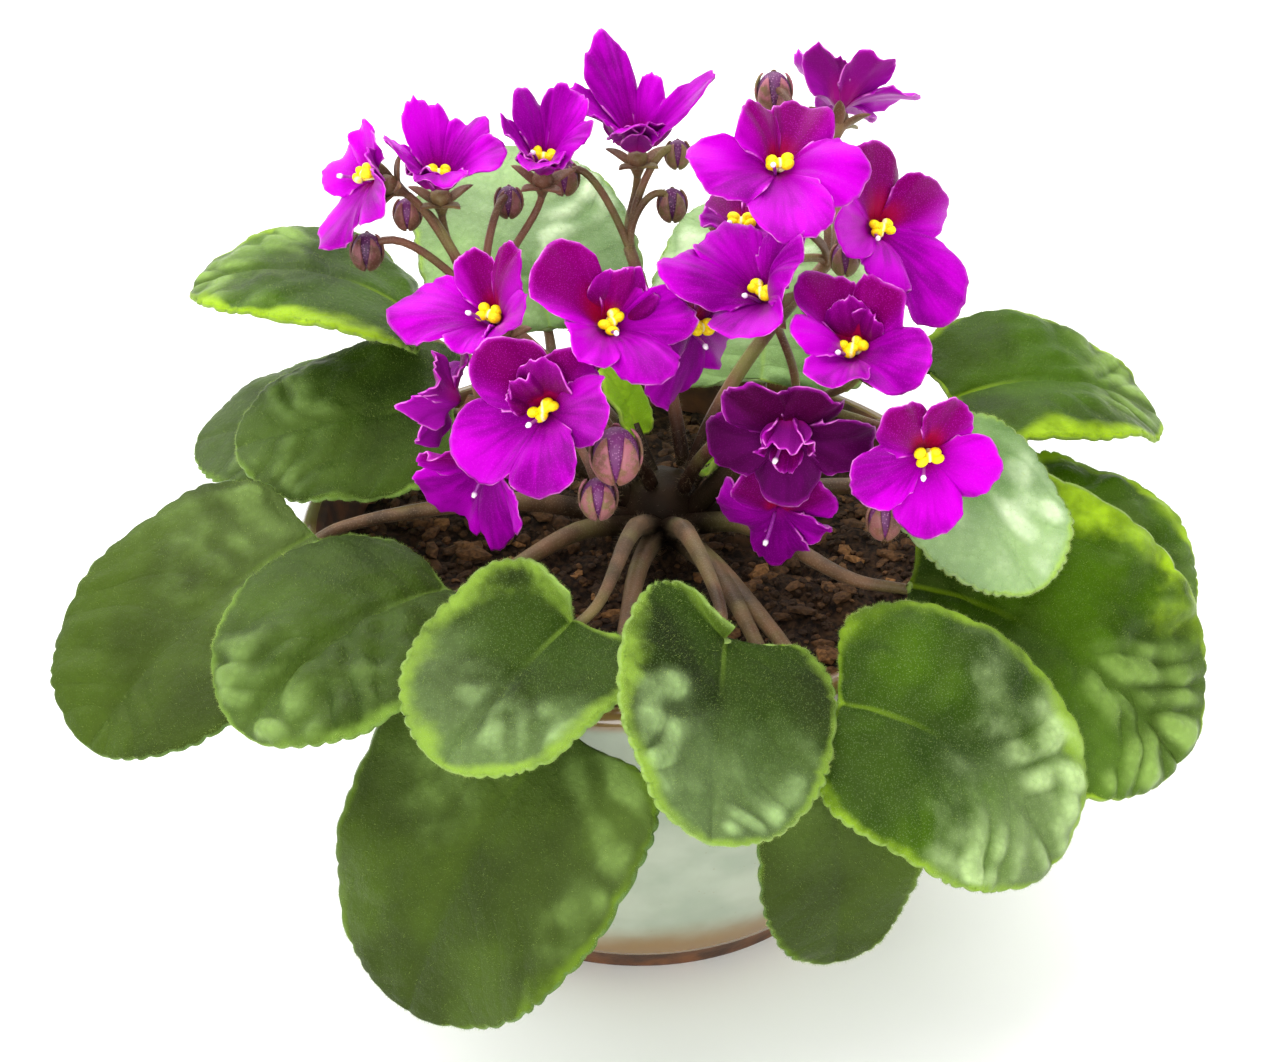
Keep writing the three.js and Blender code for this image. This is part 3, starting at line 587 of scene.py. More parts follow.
LEAF_DOWN = hair_finish("leaf_hair", "#a0b45c", "#5f7c2c")
for order, row in enumerate(LEAVES, 1):
    blade = bmesh.new()
    raised = RAISED_LOBES.get(order, 0.0)
    form = blade_form(leaf_of(*row), TEETH, TOOTH, QUILT[order], order * 3.7, raised, GLOW_MARGINS[order])
    sheet(blade, *LEAF_SHEET, form, BLADE_MARKS)
    blade.normal_update()
    inset, under = [blade.verts.layers.float[key] for key in ("inset", "under")]

    def crowd(face):
        """Hairs stand thick along the edge and thin under the blade."""
        near = min(vert[inset] for vert in face.verts)
        return (14.0 if near < 0.6 else 1.0) * (0.35 if face.verts[0][under] > 0.5 else 1.0)

    name = f"leaf_{order:02d}"
    grow_hairs(f"{name}_hairs", blade, LEAF_HAIRS, HAIR_LENGTH, "leaf", LEAF_DOWN, order, crowd)
    show(f"{name}_blade", blade, LEAF_SKINS[order], "leaf", name)

# The crown is the short stem that stands in the soil. Every petiole grows out of it, thick and purplish
# brown, arches over and runs on under its blade, and two bright young leaves stand folded in the middle.
CROWN_X, CROWN_Y, CROWN_RADIUS = 4 * MM, 8 * MM, 7 * MM
CROWN_FOOT, CROWN_SHOULDER, CROWN_TOP, CROWN_DOME = 46 * MM, 69 * MM, 77 * MM, 1.5 * MM
CROWN_MIDDLE = Vector((CROWN_X, CROWN_Y, CROWN_SHOULDER))
# From the first to the second distance from the crown's middle, stems turn from painted shade, where the
# leaves and flowers overhang the crown, to their own colour, and from dull to their own shine. Within the
# bald distance they carry few hairs.
SHADE_NEAR, DULL_NEAR, BALD_NEAR = (13 * MM, 28 * MM), (12 * MM, 30 * MM), 14 * MM
PETIOLE_ROOT, PETIOLE_MEET, PETIOLE_END = 2.3 * MM, 1.6 * MM, 0.7 * MM
YOUNG_LEAVES = [
    [(-0.5, 14, 82.5), 130, 62, 24, 0, 15, 8, 0.3, 16, 0.1],
    [(12.5, 6, 79), -8, 48, 4, 0, 14, 8.5, 0.3, 16, 0.1],
]
YOUNG_TEETH, YOUNG_TOOTH, YOUNG_QUILT = 12, 0.25 * MM, 0.3 * MM
YOUNG_SHEET = 60, 16, 0.9 * MM, 0.6 * MM
STEM_SIDES = 2  # the curve's own measure: 2 gives a round stem of 12 sides
CROWN_HAIRS, STEM_HAIR_LENGTH = 9000, 1.1 * MM
YOUNG_HAIRS, YOUNG_HAIR_LENGTH = 2400, 0.8 * MM
# The first colour is the painted shade at the crown's middle.
STEM_PAINTED_SHADE, STEM_POINTS, BUD_PINK = "#150e09", "#b09a78", "#a05c6c"


def smooth_line(points, steps):
    """Points along a smooth line through the given ones."""
    points = [2 * points[0] - points[1], *points, 2 * points[-1] - points[-2]]
    line = []
    for p0, p1, p2, p3 in zip(points, points[1:], points[2:], points[3:]):
        d0, d1, d2 = [max(1e-9, sqrt((q - p).length)) for p, q in ((p0, p1), (p1, p2), (p2, p3))]
        leave = ((p1 - p0) / d0 - (p2 - p0) / (d0 + d1) + (p2 - p1) / d1) * d1
        arrive = ((p2 - p1) / d1 - (p3 - p1) / (d1 + d2) + (p3 - p2) / d2) * d1
        for k in range(steps):
            u = k / steps
            cubic = 2 * u**3 - 3 * u**2
            onward = leave * (u**3 - 2 * u**2 + u)
            line.append(p1 * (cubic + 1) + onward - p2 * cubic + arrive * (u**3 - u**2))
    return line + [points[-2]]


def tapered(line, start, end):
    """The radius at each point of a line, from start to end by length."""
    lengths = [0.0]
    for p, q in zip(line, line[1:]):
        lengths.append(lengths[-1] + (q - p).length)
    return [start + (end - start) * far / lengths[-1] for far in lengths]


def add_stems(bm, stems):
    """Adds round stems to a bmesh. Each is a line of points and a radius at each of them."""
    curve = bpy.data.curves.new("stems", "CURVE")
    curve.dimensions = "3D"
    curve.bevel_depth = 1.0
    curve.bevel_resolution = STEM_SIDES
    curve.use_fill_caps = True
    for line, radii in stems:
        spline = curve.splines.new("POLY")
        spline.points.add(len(line) - 1)
        for point, place, radius in zip(spline.points, line, radii):
            point.co = (*place, 1)
            point.radius = radius
    carrier = bpy.data.objects.new("stems", curve)
    mesh = bpy.data.meshes.new_from_object(carrier)
    bm.from_mesh(mesh)
    bpy.data.objects.remove(carrier)
    bpy.data.curves.remove(curve)
    bpy.data.meshes.remove(mesh)
    bmesh.ops.remove_doubles(bm, verts=bm.verts[:], dist=1e-7)


def petiole(leaf):
    """The line and radii of the petiole that carries a leaf."""
    length, _, _, surface = leaf
    under = []
    for x, radius in ((0, PETIOLE_MEET), (0.2 * length, PETIOLE_END)):
        point, normal, heading = surface(x, 0)
        under.append(point - normal * (LEAF_THICKNESS / 2 + 0.75 * radius + 0.2 * MM))
    meet, end = under
    before = meet - surface(0, 0)[2] * 0.16 * length
    axis = Vector((CROWN_X, CROWN_Y, CROWN_SHOULDER - 2 * MM))
    outward = Vector((before.x - axis.x, before.y - axis.y, 0))
    root = axis + outward.normalized() * 3 * MM
    arch = axis + outward * 0.45
    arch.z = axis.z + (before.z - axis.z) * 0.6 + 3 * MM
    line = smooth_line([root, arch, before, meet, end], 7)
    return line, tapered(line, PETIOLE_ROOT, PETIOLE_END)


def stem_finish(name, dark, ruddy, green):
    """A juicy, hairy stem: reddish brown over green, with painted shade near the crown's middle, where it is
    also duller.
    """

    def skin(tree):
        grain = grain_of(tree, 1900)
        body = tint(grain["Mottle"], dark, ruddy)
        body = tint(ramp(texture(tree, "Noise", 75, Detail=3.0), 0.46, 0.7, 0.0, 0.8), body, green)
        blotch = ramp(texture(tree, "Noise", 520, Detail=4.0), 0.42, 0.6, 0.15, 1.0)
        body = tint(mark(tree, "bud") * blotch, body, BUD_PINK)
        body = tint(grain["Points"] * 0.2, body, STEM_POINTS)
        # Painted shade near the crown's middle, where the leaves and flowers overhang it; there the stem is
        # also less shiny.
        ends = {0: Value(node(tree, "ShaderNodeTexCoord"), "Object"), 1: CROWN_MIDDLE}
        away = Value(node(tree, "ShaderNodeVectorMath", ends, operation="DISTANCE"), "Value")
        return {
            "Base Color": tint(ramp(away, *SHADE_NEAR, 0.92, 0.0), body, STEM_PAINTED_SHADE),
            "Sheen Weight": ramp(away, *DULL_NEAR, 0.0, 0.1),
            "Specular IOR Level": ramp(away, *DULL_NEAR, 0.06, 0.3),
            "Normal": bump(grain["Height"], 0.5, 0.15 * MM),
        }

    return finish_of(name, skin, Roughness=0.48, Sheen_Roughness=0.4, Sheen_Tint=colour("#e0cfae"))


crown = bmesh.new()
body = [(CROWN_RADIUS - 1 * MM, CROWN_FOOT), (CROWN_RADIUS, CROWN_FOOT + 3 * MM)]
body += [(CROWN_RADIUS, CROWN_SHOULDER - 6 * MM), (CROWN_RADIUS * 1.1, CROWN_SHOULDER)]
body += [(CROWN_RADIUS * 0.8, CROWN_TOP - CROWN_DOME), (CROWN_RADIUS * 0.2, CROWN_TOP)]
crown_line = [Vector((CROWN_X, CROWN_Y, z)) for _, z in body]
stems = [(crown_line, [radius for radius, _ in body])] + [petiole(leaf_of(*row)) for row in LEAVES]
for row in YOUNG_LEAVES:
    start = Vector((CROWN_X, CROWN_Y, CROWN_TOP - 5 * MM))
    line = smooth_line([start, leaf_of(*row)[3](1.5 * MM, 0)[0]], 4)
    stems.append((line, tapered(line, 1.4 * MM, 0.8 * MM)))
add_stems(crown, stems)
crown.normal_update()


def away_from_crown(face):
    """Few hairs stand at the crown, where the stems crowd."""
    return 0.15 if (face.verts[0].co - CROWN_MIDDLE).length < BALD_NEAR else 1.0


STEM_DOWN = hair_finish("stem_hair", "#8c7c5e", "#54453a")
grow_hairs("crown_hairs", crown, CROWN_HAIRS, STEM_HAIR_LENGTH, "petiole", STEM_DOWN, 101, away_from_crown)
show("crown_stems", crown, stem_finish("petiole_skin", "#40301f", "#78593e", "#726a3c"), "petiole", "crown")
young = bmesh.new()
for order, row in enumerate(YOUNG_LEAVES):
    form = blade_form(leaf_of(*row), YOUNG_TEETH, YOUNG_TOOTH, YOUNG_QUILT, order * 2.9)
    sheet(young, *YOUNG_SHEET, form, BLADE_MARKS)
young.normal_update()
grow_hairs("young_leaf_hairs", young, YOUNG_HAIRS, YOUNG_HAIR_LENGTH, "leaf", LEAF_DOWN, 102)
YOUNG_SKIN = leaf_finish("young_leaf_green", "#4a7411", "#7fa81c", "#a4c04c", "#a2c62c", "#8fa84a", 0.6)
show("young_leaves", young, YOUNG_SKIN, "leaf")

# The flower stalks rise from the crown and fork into pedicels. Each pedicel ends in a calyx of five hairy
# sepals, which hold a bloom or are still closed over a bud. The larger buds have begun to open.
PEDUNCLE, PEDICEL = 1.4 * MM, 0.8 * MM
CALYX_BACK, CALYX_CUP = 7.4 * MM, [(0.7, -7.8), (1.1, -6.6), (1.7, -5.2), (2.0, -3.8), (1.7, -2.4)]
SEPAL_ANGLES = [18, 90, 162, 234, 306]
SEPAL_ROOT, SEPAL_REACH, SEPAL_HALF = 0.9 * MM, 5.4 * MM, 1.25 * MM
SEPAL_LOW, SEPAL_HIGH = -5.4 * MM, -2.6 * MM
SEPAL_SHEET, BUD_SHEET = (10, 6, 0.55 * MM, 0.5 * MM), (12, 8, 0.5 * MM, 0.4 * MM)
OPENING_BUD, STALK_HAIRS = 3, 5000
PETAL_ANGLES = [54, 126, 198, 270, 342]
# Each stalk has its foot on the crown, its fork, its buds with their radii, and its blooms, all in mm. Each
# bloom has the middle of its throat, the compass angle and elevation it looks in, its spin about that line
# and its width. Then come three rows for its five petals: each one's turn from its even place, its reach as
# a share of the bloom's radius, and how far it stands up from flat.
STALKS = [
    ((-1, 8.5), (-27, 20, 104), [(-49, 19, 117, 3), (-42, 26, 121, 2.6), (-24, 33, 120, 2.6)], [
        [(-47.5, 20, 131), 205, 35, 0, 27,
            (0, 0, 0, 0, 0), (0.5, 0.75, 0.95, 1.18, 0.9), (50, 30, 10, 5, 10)],
        [(-36, 26, 127.5), -92, 78, 4, 34,
            (-10, -20, 4, 2, 10), (0.85, 0.95, 0.95, 0.9, 0.88), (38, 55, 55, 40, 38)],
        [(-17.5, 31, 128.5), -80, 74, -12, 32,
            (10, -3, -6, 0, 0), (1, 1, 0.9, 0.9, 1), (50, 60, 60, 45, 55)],
    ]),
    ((8, 13), (-2, 38, 108), [(-14, 43, 120, 2.8), (7, 47, 123, 2.4), (6, 42, 115, 2.8)], [
        [(-0.5, 44, 126.8), -91, 80, 4, 36,
            (0, 2, -10, -15, 4), (0.75, 1.25, 1.05, 0.85, 1.25), (60, 60, 45, 45, 50)],
    ]),
    ((9.5, 11), (34, 24, 112), [(36, 8, 121, 2.6), (25, 55, 132, 3.4)], [
        [(38, 59, 128), 78, 40, 5, 31,
            (3, 0, 0, 0, -5), (0.85, 0.9, 1.05, 1.1, 0.95), (30, 30, 20, 15, 45)],
        [(23, -10, 146.8), -80, 62, -2, 34,
            (5, -2, -7, 2, -2), (0.82, 0.82, 1.05, 1.05, 0.95), (10, 50, 20, 15, 10)],
        [(41, 4, 129), -62, 26, -28, 32,
            (-15, -4, 0, 0, -15), (0.95, 1, 1.05, 1.05, 1.3), (5, 10, 40, 45, 10)],
        [(17.5, 2, 130), -98, 64, 4, 22,
            (-10, -10, 5, 15, 0), (0.85, 0.8, 0.9, 1.1, 0.85), (10, 0, 45, 25, 30)],
    ]),
    ((8, 4), (26, -14, 104), [(41, -37, 95, 3)], [
        [(20.5, -21, 128.8), -118, 56, 18, 34,
            (-9, 5, -15, -3, 16), (0.85, 0.9, 1.2, 1.1, 1.2), (45, 25, 45, 40, 60)],
        [(35.5, -27, 121.5), -106, 54, 3, 32,
            (3, 0, -4, -12, -4), (0.9, 0.95, 1.1, 1.15, 1), (40, 25, 58, 50, 25)],
        [(47, -41, 110), -81, 16, 2, 28,
            (7, 0, -3, -7, 0), (0.8, 0.9, 1.05, 1, 0.95), (20, 20, 15, 10, 15)],
        [(24.5, -36, 111.5), -97, -8, 1, 32,
            (0, 5, -5, -3, 6), (0.72, 0.85, 0.95, 0.85, 0.95), (5, 10, -5, 10, -5)],
        [(23.5, -30.6, 92.5), -95, -20, -2, 24,
            (-12, -4, -6, 10, 7), (1, 0.95, 1.05, 1, 0.8), (5, 0, -25, 10, 20)],
    ]),
    ((2, 4.5), (-13, -12, 100), [(-4, -36, 107, 4.3), (-7, -35, 98, 3.2)], [
        [(-15.3, -38, 116.5), -108, 34, 14, 32,
            (-16, 0, 10, 0, 12), (0.8, 0.95, 1.15, 1.05, 1.05), (20, 25, 5, 25, 40)],
        [(-5.3, -28, 127), -56, 44, 1, 32,
            (6, -5, 7, 0, -3), (0.72, 1.15, 0.9, 1.1, 0.92), (58, 15, 35, 38, 36)],
        [(9, -17, 121), -45, 12, -12, 25,
            (-3, 0, -5, -15, -9), (0.7, 0.9, 1.05, 1.25, 1), (5, 15, 5, -20, -10)],
        [(-25, -11, 119), 235, 60, 1, 30,
            (0, 0, 0, 0, 0), (1.25, 0.9, 1.3, 0.75, 1.15), (58, 56, 5, 30, 45)],
        [(-32, -18, 107.5), 165, 14, 1, 24,
            (0, 4, 0, -12, 10), (0.9, 0.8, 1.05, 0.95, 0.8), (25, 5, 20, 10, 50)],
        [(-25.8, -28, 100.3), 250, -35, 4, 29,
            (0, 0, 30, -2, 0), (0.9, 0.9, 1.35, 1.15, 0.85), (20, 20, 15, 35, 50)],
    ]),
]


def bloom_of(at, azimuth, elevation, spin, width, turns, reaches, lifts):
    """A bloom's row of values in metres, with place(): a point from a distance and an angle round its centre
    and a height above its throat. Each petal also gets the curl of its tip."""
    tilt = radians(elevation)
    out = compass(azimuth) * cos(tilt) + UP * sin(tilt)
    side = Matrix.Rotation(radians(spin), 3, out) @ UP.cross(out).normalized()
    up = out.cross(side)
    centre = Vector(at) * MM

    def place(radius, angle, height):
        turn = radians(angle)
        return centre + side * (radius * cos(turn)) + up * (radius * sin(turn)) + out * height

    curls = [16 * sin(2.3 * order + 31 * centre.length / MM) for order in range(5)]
    angles = [even + turn for even, turn in zip(PETAL_ANGLES, turns)]
    petals = list(zip(angles, reaches, lifts, curls))
    return {"place": place, "width": width * MM, "petals": petals, "axes": (side, up, out), "centre": centre}


def bezier(points, steps):
    """Points along a Bezier line with two, three or four control points."""
    line = []
    for k in range(steps + 1):
        level = list(points)
        while len(level) > 1:
            level = [p.lerp(q, k / steps) for p, q in zip(level, level[1:])]
        line.append(level[0])
    return line


def sepal_form(place, angle):
    """A sepal for sheet(), which spreads behind a bloom from near its axis."""

    def form(t, s):
        wide = SEPAL_HALF * sin(pi * (0.12 + 0.88 * t) ** 0.75) ** 0.8
        far = SEPAL_ROOT + SEPAL_REACH * t
        turn = angle + degrees(atan2(wide * s, far))
        height = SEPAL_LOW + (SEPAL_HIGH - SEPAL_LOW) * sin(t * pi / 2) + 0.5 * MM * s * s * (1 - t)
        return place(hypot(far, wide * s), turn, height), (1 - abs(s)) * wide

    return form


def bud_form(centre, radius, angle, opening):
    """A sepal for sheet() that lies on a bud, from its base to near its top. On an opening bud it is pinker
    and stands off at its tip."""
    off, pink = (0.12, 1.0) if opening else (0.02, 0.45)

    def form(t, s):
        rise = pi * (0.1 + 0.74 * t)
        half = 40 * (1 - t) ** 0.55 * (0.6 + 0.4 * min(1.0, 4 * t))
        away = radius * 0.9 * sin(rise) * 1.08 + off * radius * t * t
        spot = compass(angle + half * s) * away
        point = centre + spot - UP * (cos(rise) * radius * 1.22)
        return point, (1 - abs(s)) * away * radians(half), pink * (0.5 + 0.5 * t)

    return form


def pedicel(root, heading, before, tip):
    """The line and radii of a pedicel, which leaves its root in the stalk's heading."""
    line = bezier([root - heading * 2 * MM, root + heading * 6 * MM, before, tip], 14)
    return line, tapered(line, PEDICEL, PEDICEL * 0.9)


STALK_SKIN = stem_finish("stalk_skin", "#4a2c20", "#7a503c", "#7a7c3c")


def bud_skin(tree):
    grain = grain_of(tree, 1700)
    body = tint(grain["Mottle"], "#3c0c38", "#702468")
    body = tint(grain["Points"] * 0.4, body, "#c890bc")
    return {"Base Color": body, "Normal": bump(grain["Height"], 0.5, 0.15 * MM)}


BUD_SKIN = finish_of("bud_skin", bud_skin, Roughness=0.5, Specular_IOR_Level=0.4)
blooms = []
for order, (foot, fork, buds, rows) in enumerate(STALKS, 1):
    foot, fork = Vector(foot).to_3d() * MM, Vector(fork) * MM
    away = hypot(foot.x - CROWN_X, foot.y - CROWN_Y) - PEDUNCLE
    foot.z = CROWN_TOP - CROWN_DOME * away / (CROWN_RADIUS * 0.8) + 0.4 * MM
    lift = foot.lerp(fork, 0.2)
    lift.z = foot.z + (fork.z - foot.z) * 0.5
    peduncle = bezier([foot, lift, fork], 18)
    heading = (fork - lift).normalized()
    stems = [(peduncle, tapered(peduncle, PEDUNCLE, PEDUNCLE * 0.85))]
    body, core = bmesh.new(), bmesh.new()
    for row in rows:
        bloom = bloom_of(*row)
        blooms.append(bloom)
        place = bloom["place"]
        before, tip = [place(0, 0, -CALYX_BACK + further) for further in (-7 * MM, 0.6 * MM)]
        stems.append(pedicel(fork, heading, before, tip))
        cup = [place(0, 0, height * MM) for _, height in CALYX_CUP]
        stems.append((cup, [radius * MM for radius, _ in CALYX_CUP]))
        for angle in SEPAL_ANGLES:
            sheet(body, *SEPAL_SHEET, sepal_form(place, angle))
    for *middle, size in buds:
        centre, radius = Vector(middle) * MM, size * MM
        before = centre.lerp(fork, 0.3)
        before.z = centre.z + radius + 5 * MM
        stems.append(pedicel(fork, heading, before, centre))
        ball = bmesh.ops.create_uvsphere(core, u_segments=20, v_segments=14, radius=radius)["verts"]
        bmesh.ops.scale(core, verts=ball, vec=(0.9, 0.9, 1.15))
        bmesh.ops.translate(core, verts=ball, vec=centre)
        for angle in SEPAL_ANGLES:
            sheet(body, *BUD_SHEET, bud_form(centre, radius, angle, size > OPENING_BUD), ("bud",))
    add_stems(body, stems)
    body.normal_update()
    grow_hairs(f"stalk_{order}_hairs", body, STALK_HAIRS, STEM_HAIR_LENGTH, "stalk", STEM_DOWN, 200 + order)
    show(f"stalk_{order}_stems", body, STALK_SKIN, "stalk", f"stalk_{order}")
    show(f"stalk_{order}_buds", core, BUD_SKIN, "stalk")

# The corollas are five round magenta petals grown together at the throat, thin and soft, each with a pale
# crimped rim that is partly its own paleness and partly a painted highlight, and with painted glints over
# their faces. A few have small extra petals over the throat. A purple style with a white tip leans out.
THROAT, TUBE = 1.9 * MM, 1.6 * MM
PETAL_ROUND, PETAL_SPREAD, PETAL_LAP = 0.59, 50, 12
PETAL_SHEET = 24, 34, 0.4 * MM, 0.3 * MM
PETAL_MARKS = ("along", "spread", "dark", "upper")
MAGENTA, MAGENTA_DEEP, MAGENTA_RED, WINE, THROAT_RED = "#b400ba", "#640064", "#660046", "#300420", "#8a0426"
# The rim colour is partly a painted highlight, and the last colour paints glints.
PETAL_BACK, PETAL_RIM, PAINTED_GLINT = "#951a96", "#e080d2", "#dc22dc"
# How far each listed corolla is darkened towards wine red and ruffled more; the others keep their bright
# colour.
DARKENED = {4: 0.2, 6: 0.12, 8: 0.45, 9: 0.25, 10: 0.12, 12: 0.85, 13: 0.4, 14: 0.25}
DARKENED |= {16: 0.4, 17: 0.1, 18: 0.35, 19: 0.15}
# The blooms whose upper petals are hardly redder and darker than the others, and the share of it that they
# have. That red is partly the petals' own colour and partly painted shade.
PLAIN_BLOOMS, PLAIN_RED = (1, 2, 3, 4, 9), 0.3
# The extra petals by their angle, their reach as a share of the bloom's radius, and their rise.
EXTRA_PETALS = {
    2: [(262, 0.45, 66), (215, 0.4, 60)],
    3: [(250, 0.45, 64), (300, 0.42, 60)],
    4: [(240, 0.55, 62), (290, 0.55, 64)],
    10: [(104, 0.5, 64), (58, 0.42, 70)],
    12: [(92, 0.52, 95), (28, 0.42, 76), (160, 0.44, 80), (268, 0.34, 70)],
    14: [(74, 0.6, 62), (112, 0.48, 72), (146, 0.36, 62)],
    15: [(64, 0.6, 66), (18, 0.48, 54)],
}
EXTRA_DARK, EXTRA_UPPER = 0.4, 0.6
STYLE_ANGLE, STYLE_LINE = 235, [(1.0, -0.6), (1.8, 2.5), (3.4, 5.2)]
STYLE_RADII = [0.3 * MM] * 9 + [0.5 * MM, 0.32 * MM]


def petal_form(bloom, petal, sides, seed, dark):
    """The form of one petal for sheet(). It leaves the throat steeply and bends back. sides gives, to its
    right and its left, the angle to the border, its spread, and the lift and curl that it shares there."""
    angle, reach, lift, curl = petal
    cup = 1.3 * MM * sin(2.7 * seed + 1)

    def form(t, s):
        half, spread, lift_beside, curl_beside = sides[s > 0]
        turn = radians(spread) * s
        border = min(1.0, abs(s) * spread / half) ** 6 / 2
        rise_here = lift * (1 - border) + lift_beside * border
        curl_here = curl * (1 - border) + curl_beside * border
        wide = radians(PETAL_SPREAD) * s
        outline = PETAL_ROUND * cos(wide)
        outline += sqrt(max(0.0, (1 - PETAL_ROUND) ** 2 - (PETAL_ROUND * sin(wide)) ** 2))
        uneven = [waver(s * rate, seed, rate) for rate in (2.5, 8, 20)]
        outline *= 1 + 0.09 * uneven[0] + 0.04 * uneven[1] + 0.018 * uneven[2]
        length = (bloom["width"] / 2 - THROAT) * reach * outline
        start, end = radians(rise_here + 20 + curl_here), radians(rise_here - 18.01 - curl_here)
        along = max(0.0, (t - 0.1) / 0.9)
        slope = start + (end - start) * along
        bend = (end - start) / length
        run = (sin(slope) - sin(start)) / bend
        rise = (cos(start) - cos(slope)) / bend
        throat = min(1.0, t / 0.1)
        edge = t**3 * cos(s * pi / 2) ** 0.3
        ruffle = 1.0 * MM * sin(4.4 * s + seed) + 0.5 * MM * sin(10 * s + 2.3 * seed)
        ruffle *= 1 + 1.1 * dark
        crimp = 0.9 * MM * t**8 * waver(s * 13, seed, 5)
        crease = -0.8 * MM * exp(-((s / 0.2) ** 2)) * t * (1 - 0.8 * t)
        lap = 1.0 * MM * s * t + cup * (s * s - 0.3) * t * t
        inset = min((1 - t) * length, (1 - abs(s)) * radians(spread) * (THROAT * throat + run))
        height = rise + ruffle * edge + crimp + crease + lap - TUBE * (1 - throat)
        point = bloom["place"](THROAT * throat + run, angle + degrees(turn), height)
        # How far up the bloom the point stands: it makes the upper petals redder and darker, partly their own
        # colour and partly painted shade.
        upper = bloom["ruddy"] * max(0.0, sin(radians(angle + degrees(turn))))
        return point, inset, t, s * 4 + seed * 3, dark, upper

    return form


def frill_form(bloom, angle, reach, lift, seed):
    """The form of a small extra petal for sheet(): a crumpled flap that stands up at the throat, or leans
    over it where its lift is past 90 degrees."""
    length = reach * bloom["width"] / 2
    start, bend = radians(lift + 15), radians(-40) / length

    def form(t, s):
        half = 0.52 * length * sin(pi * (0.12 + 0.55 * t)) ** 0.7
        uneven = 0.12 * waver(3 * s, seed, 1) + 0.05 * waver(11 * s, seed, 4)
        slope = start + bend * length * t * (1 - 0.4 * abs(s) ** 3 + uneven)
        ruffle = 0.7 * MM * t * (sin(4.5 * s + seed) + 0.5 * sin(10 * s + 2 * seed))
        far = 1.4 * THROAT + (sin(slope) - sin(start)) / bend - sin(slope) * ruffle
        height = (cos(start) - cos(slope)) / bend + cos(slope) * ruffle
        turn = angle + degrees(atan2(half * s, far))
        inset = min((1 - t) * length, (1 - abs(s)) * half, 3 * t * length)
        point = bloom["place"](hypot(far, half * s), turn, height)
        return point, inset, t, s * 4 + seed * 3, EXTRA_DARK, EXTRA_UPPER

    return form


def petals_of(bloom, order):
    """The forms of all the petals of a bloom."""
    forms = []
    for number, petal in enumerate(bloom["petals"]):
        sides = []
        for side in (-1, 1):
            beside = bloom["petals"][(number + side) % 5]
            half = side * (beside[0] - petal[0]) % 360 / 2
            sides.append((half, min(62, max(44, half + PETAL_LAP)), beside[2], beside[3]))
        forms.append(petal_form(bloom, petal, sides, order * 1.7 + number * 2.1, DARKENED.get(order, 0.0)))
    for number, (angle, reach, lift) in enumerate(EXTRA_PETALS.get(order, [])):
        forms.append(frill_form(bloom, angle, reach, lift, order * 1.3 + number * 2.7))
    return forms


def petal_skin(tree):
    grain = grain_of(tree, 2600)
    inset, along, dark, upper = [mark(tree, key) for key in ("inset", "along", "dark", "upper")]
    place = Value(node(tree, "ShaderNodeCombineXYZ", {0: mark(tree, "spread"), 1: along}))
    streak = Value(node(tree, "ShaderNodeTexNoise", {"Vector": place, "Scale": 1.6, "Detail": 3.0}))
    shade = streak * 0.45 + texture(tree, "Noise", 60, Detail=3.0)
    body = tint(ramp(shade, 0.6, 0.9, 0.0, 0.8), MAGENTA, MAGENTA_DEEP)
    # Darker towards the throat: painted shade in the bloom's cup.
    body = tint(ramp(along, 0.8, 0.1, 0.0, 0.6), body, MAGENTA_DEEP)
    # Upper petals redder and darker: partly their own colour, partly painted shade.
    body = tint(ramp(upper - along * 0.25, 0.0, 0.6, 0.0, 0.92), body, MAGENTA_RED)
    body = tint(ramp(dark, 0.0, 1.0, 0.0, 0.95), body, WINE)
    # Painted glints on the grain's points, fewer on the darker blooms.
    body = tint(grain["Points"] * ramp(dark, 0.2, 0.8, 0.2, 0.06), body, PAINTED_GLINT)
    throat = along - upper * 0.35 + dark * 0.3
    body = tint(ramp(throat, 0.26, -0.1, 0.0, 0.9), body, THROAT_RED)
    body = tint(mark(tree, "under") * 0.5, body, PETAL_BACK)
    # Near the outer edge, a painted glint band and a pale rim, partly the petal's own and partly a painted
    # highlight.
    outer = ramp(along, 0.5, 0.8)
    body = tint(ramp(inset, 1.0, 0.2, 0.0, 0.16) * outer, body, PAINTED_GLINT)
    rim = ramp(inset, 0.26, 0.06, 0.0, 0.85) * outer
    body = tint(rim * ramp(texture(tree, "Noise", 420, Detail=2.0), 0.38, 0.6), body, PETAL_RIM)
    height = grain["Height"] + streak * 2.0
    return {"Base Color": body, "Normal": bump(height, 0.4, 0.12 * MM)}


def style_skin(tree):
    body = tint(ramp(mark(tree, "tip"), 0.82, 0.93), "#8a1f8f", "#f6e9f2")
    return {"Base Color": tint(grain_of(tree, 2400)["Points"] * 0.25, body, "#d98fd6")}


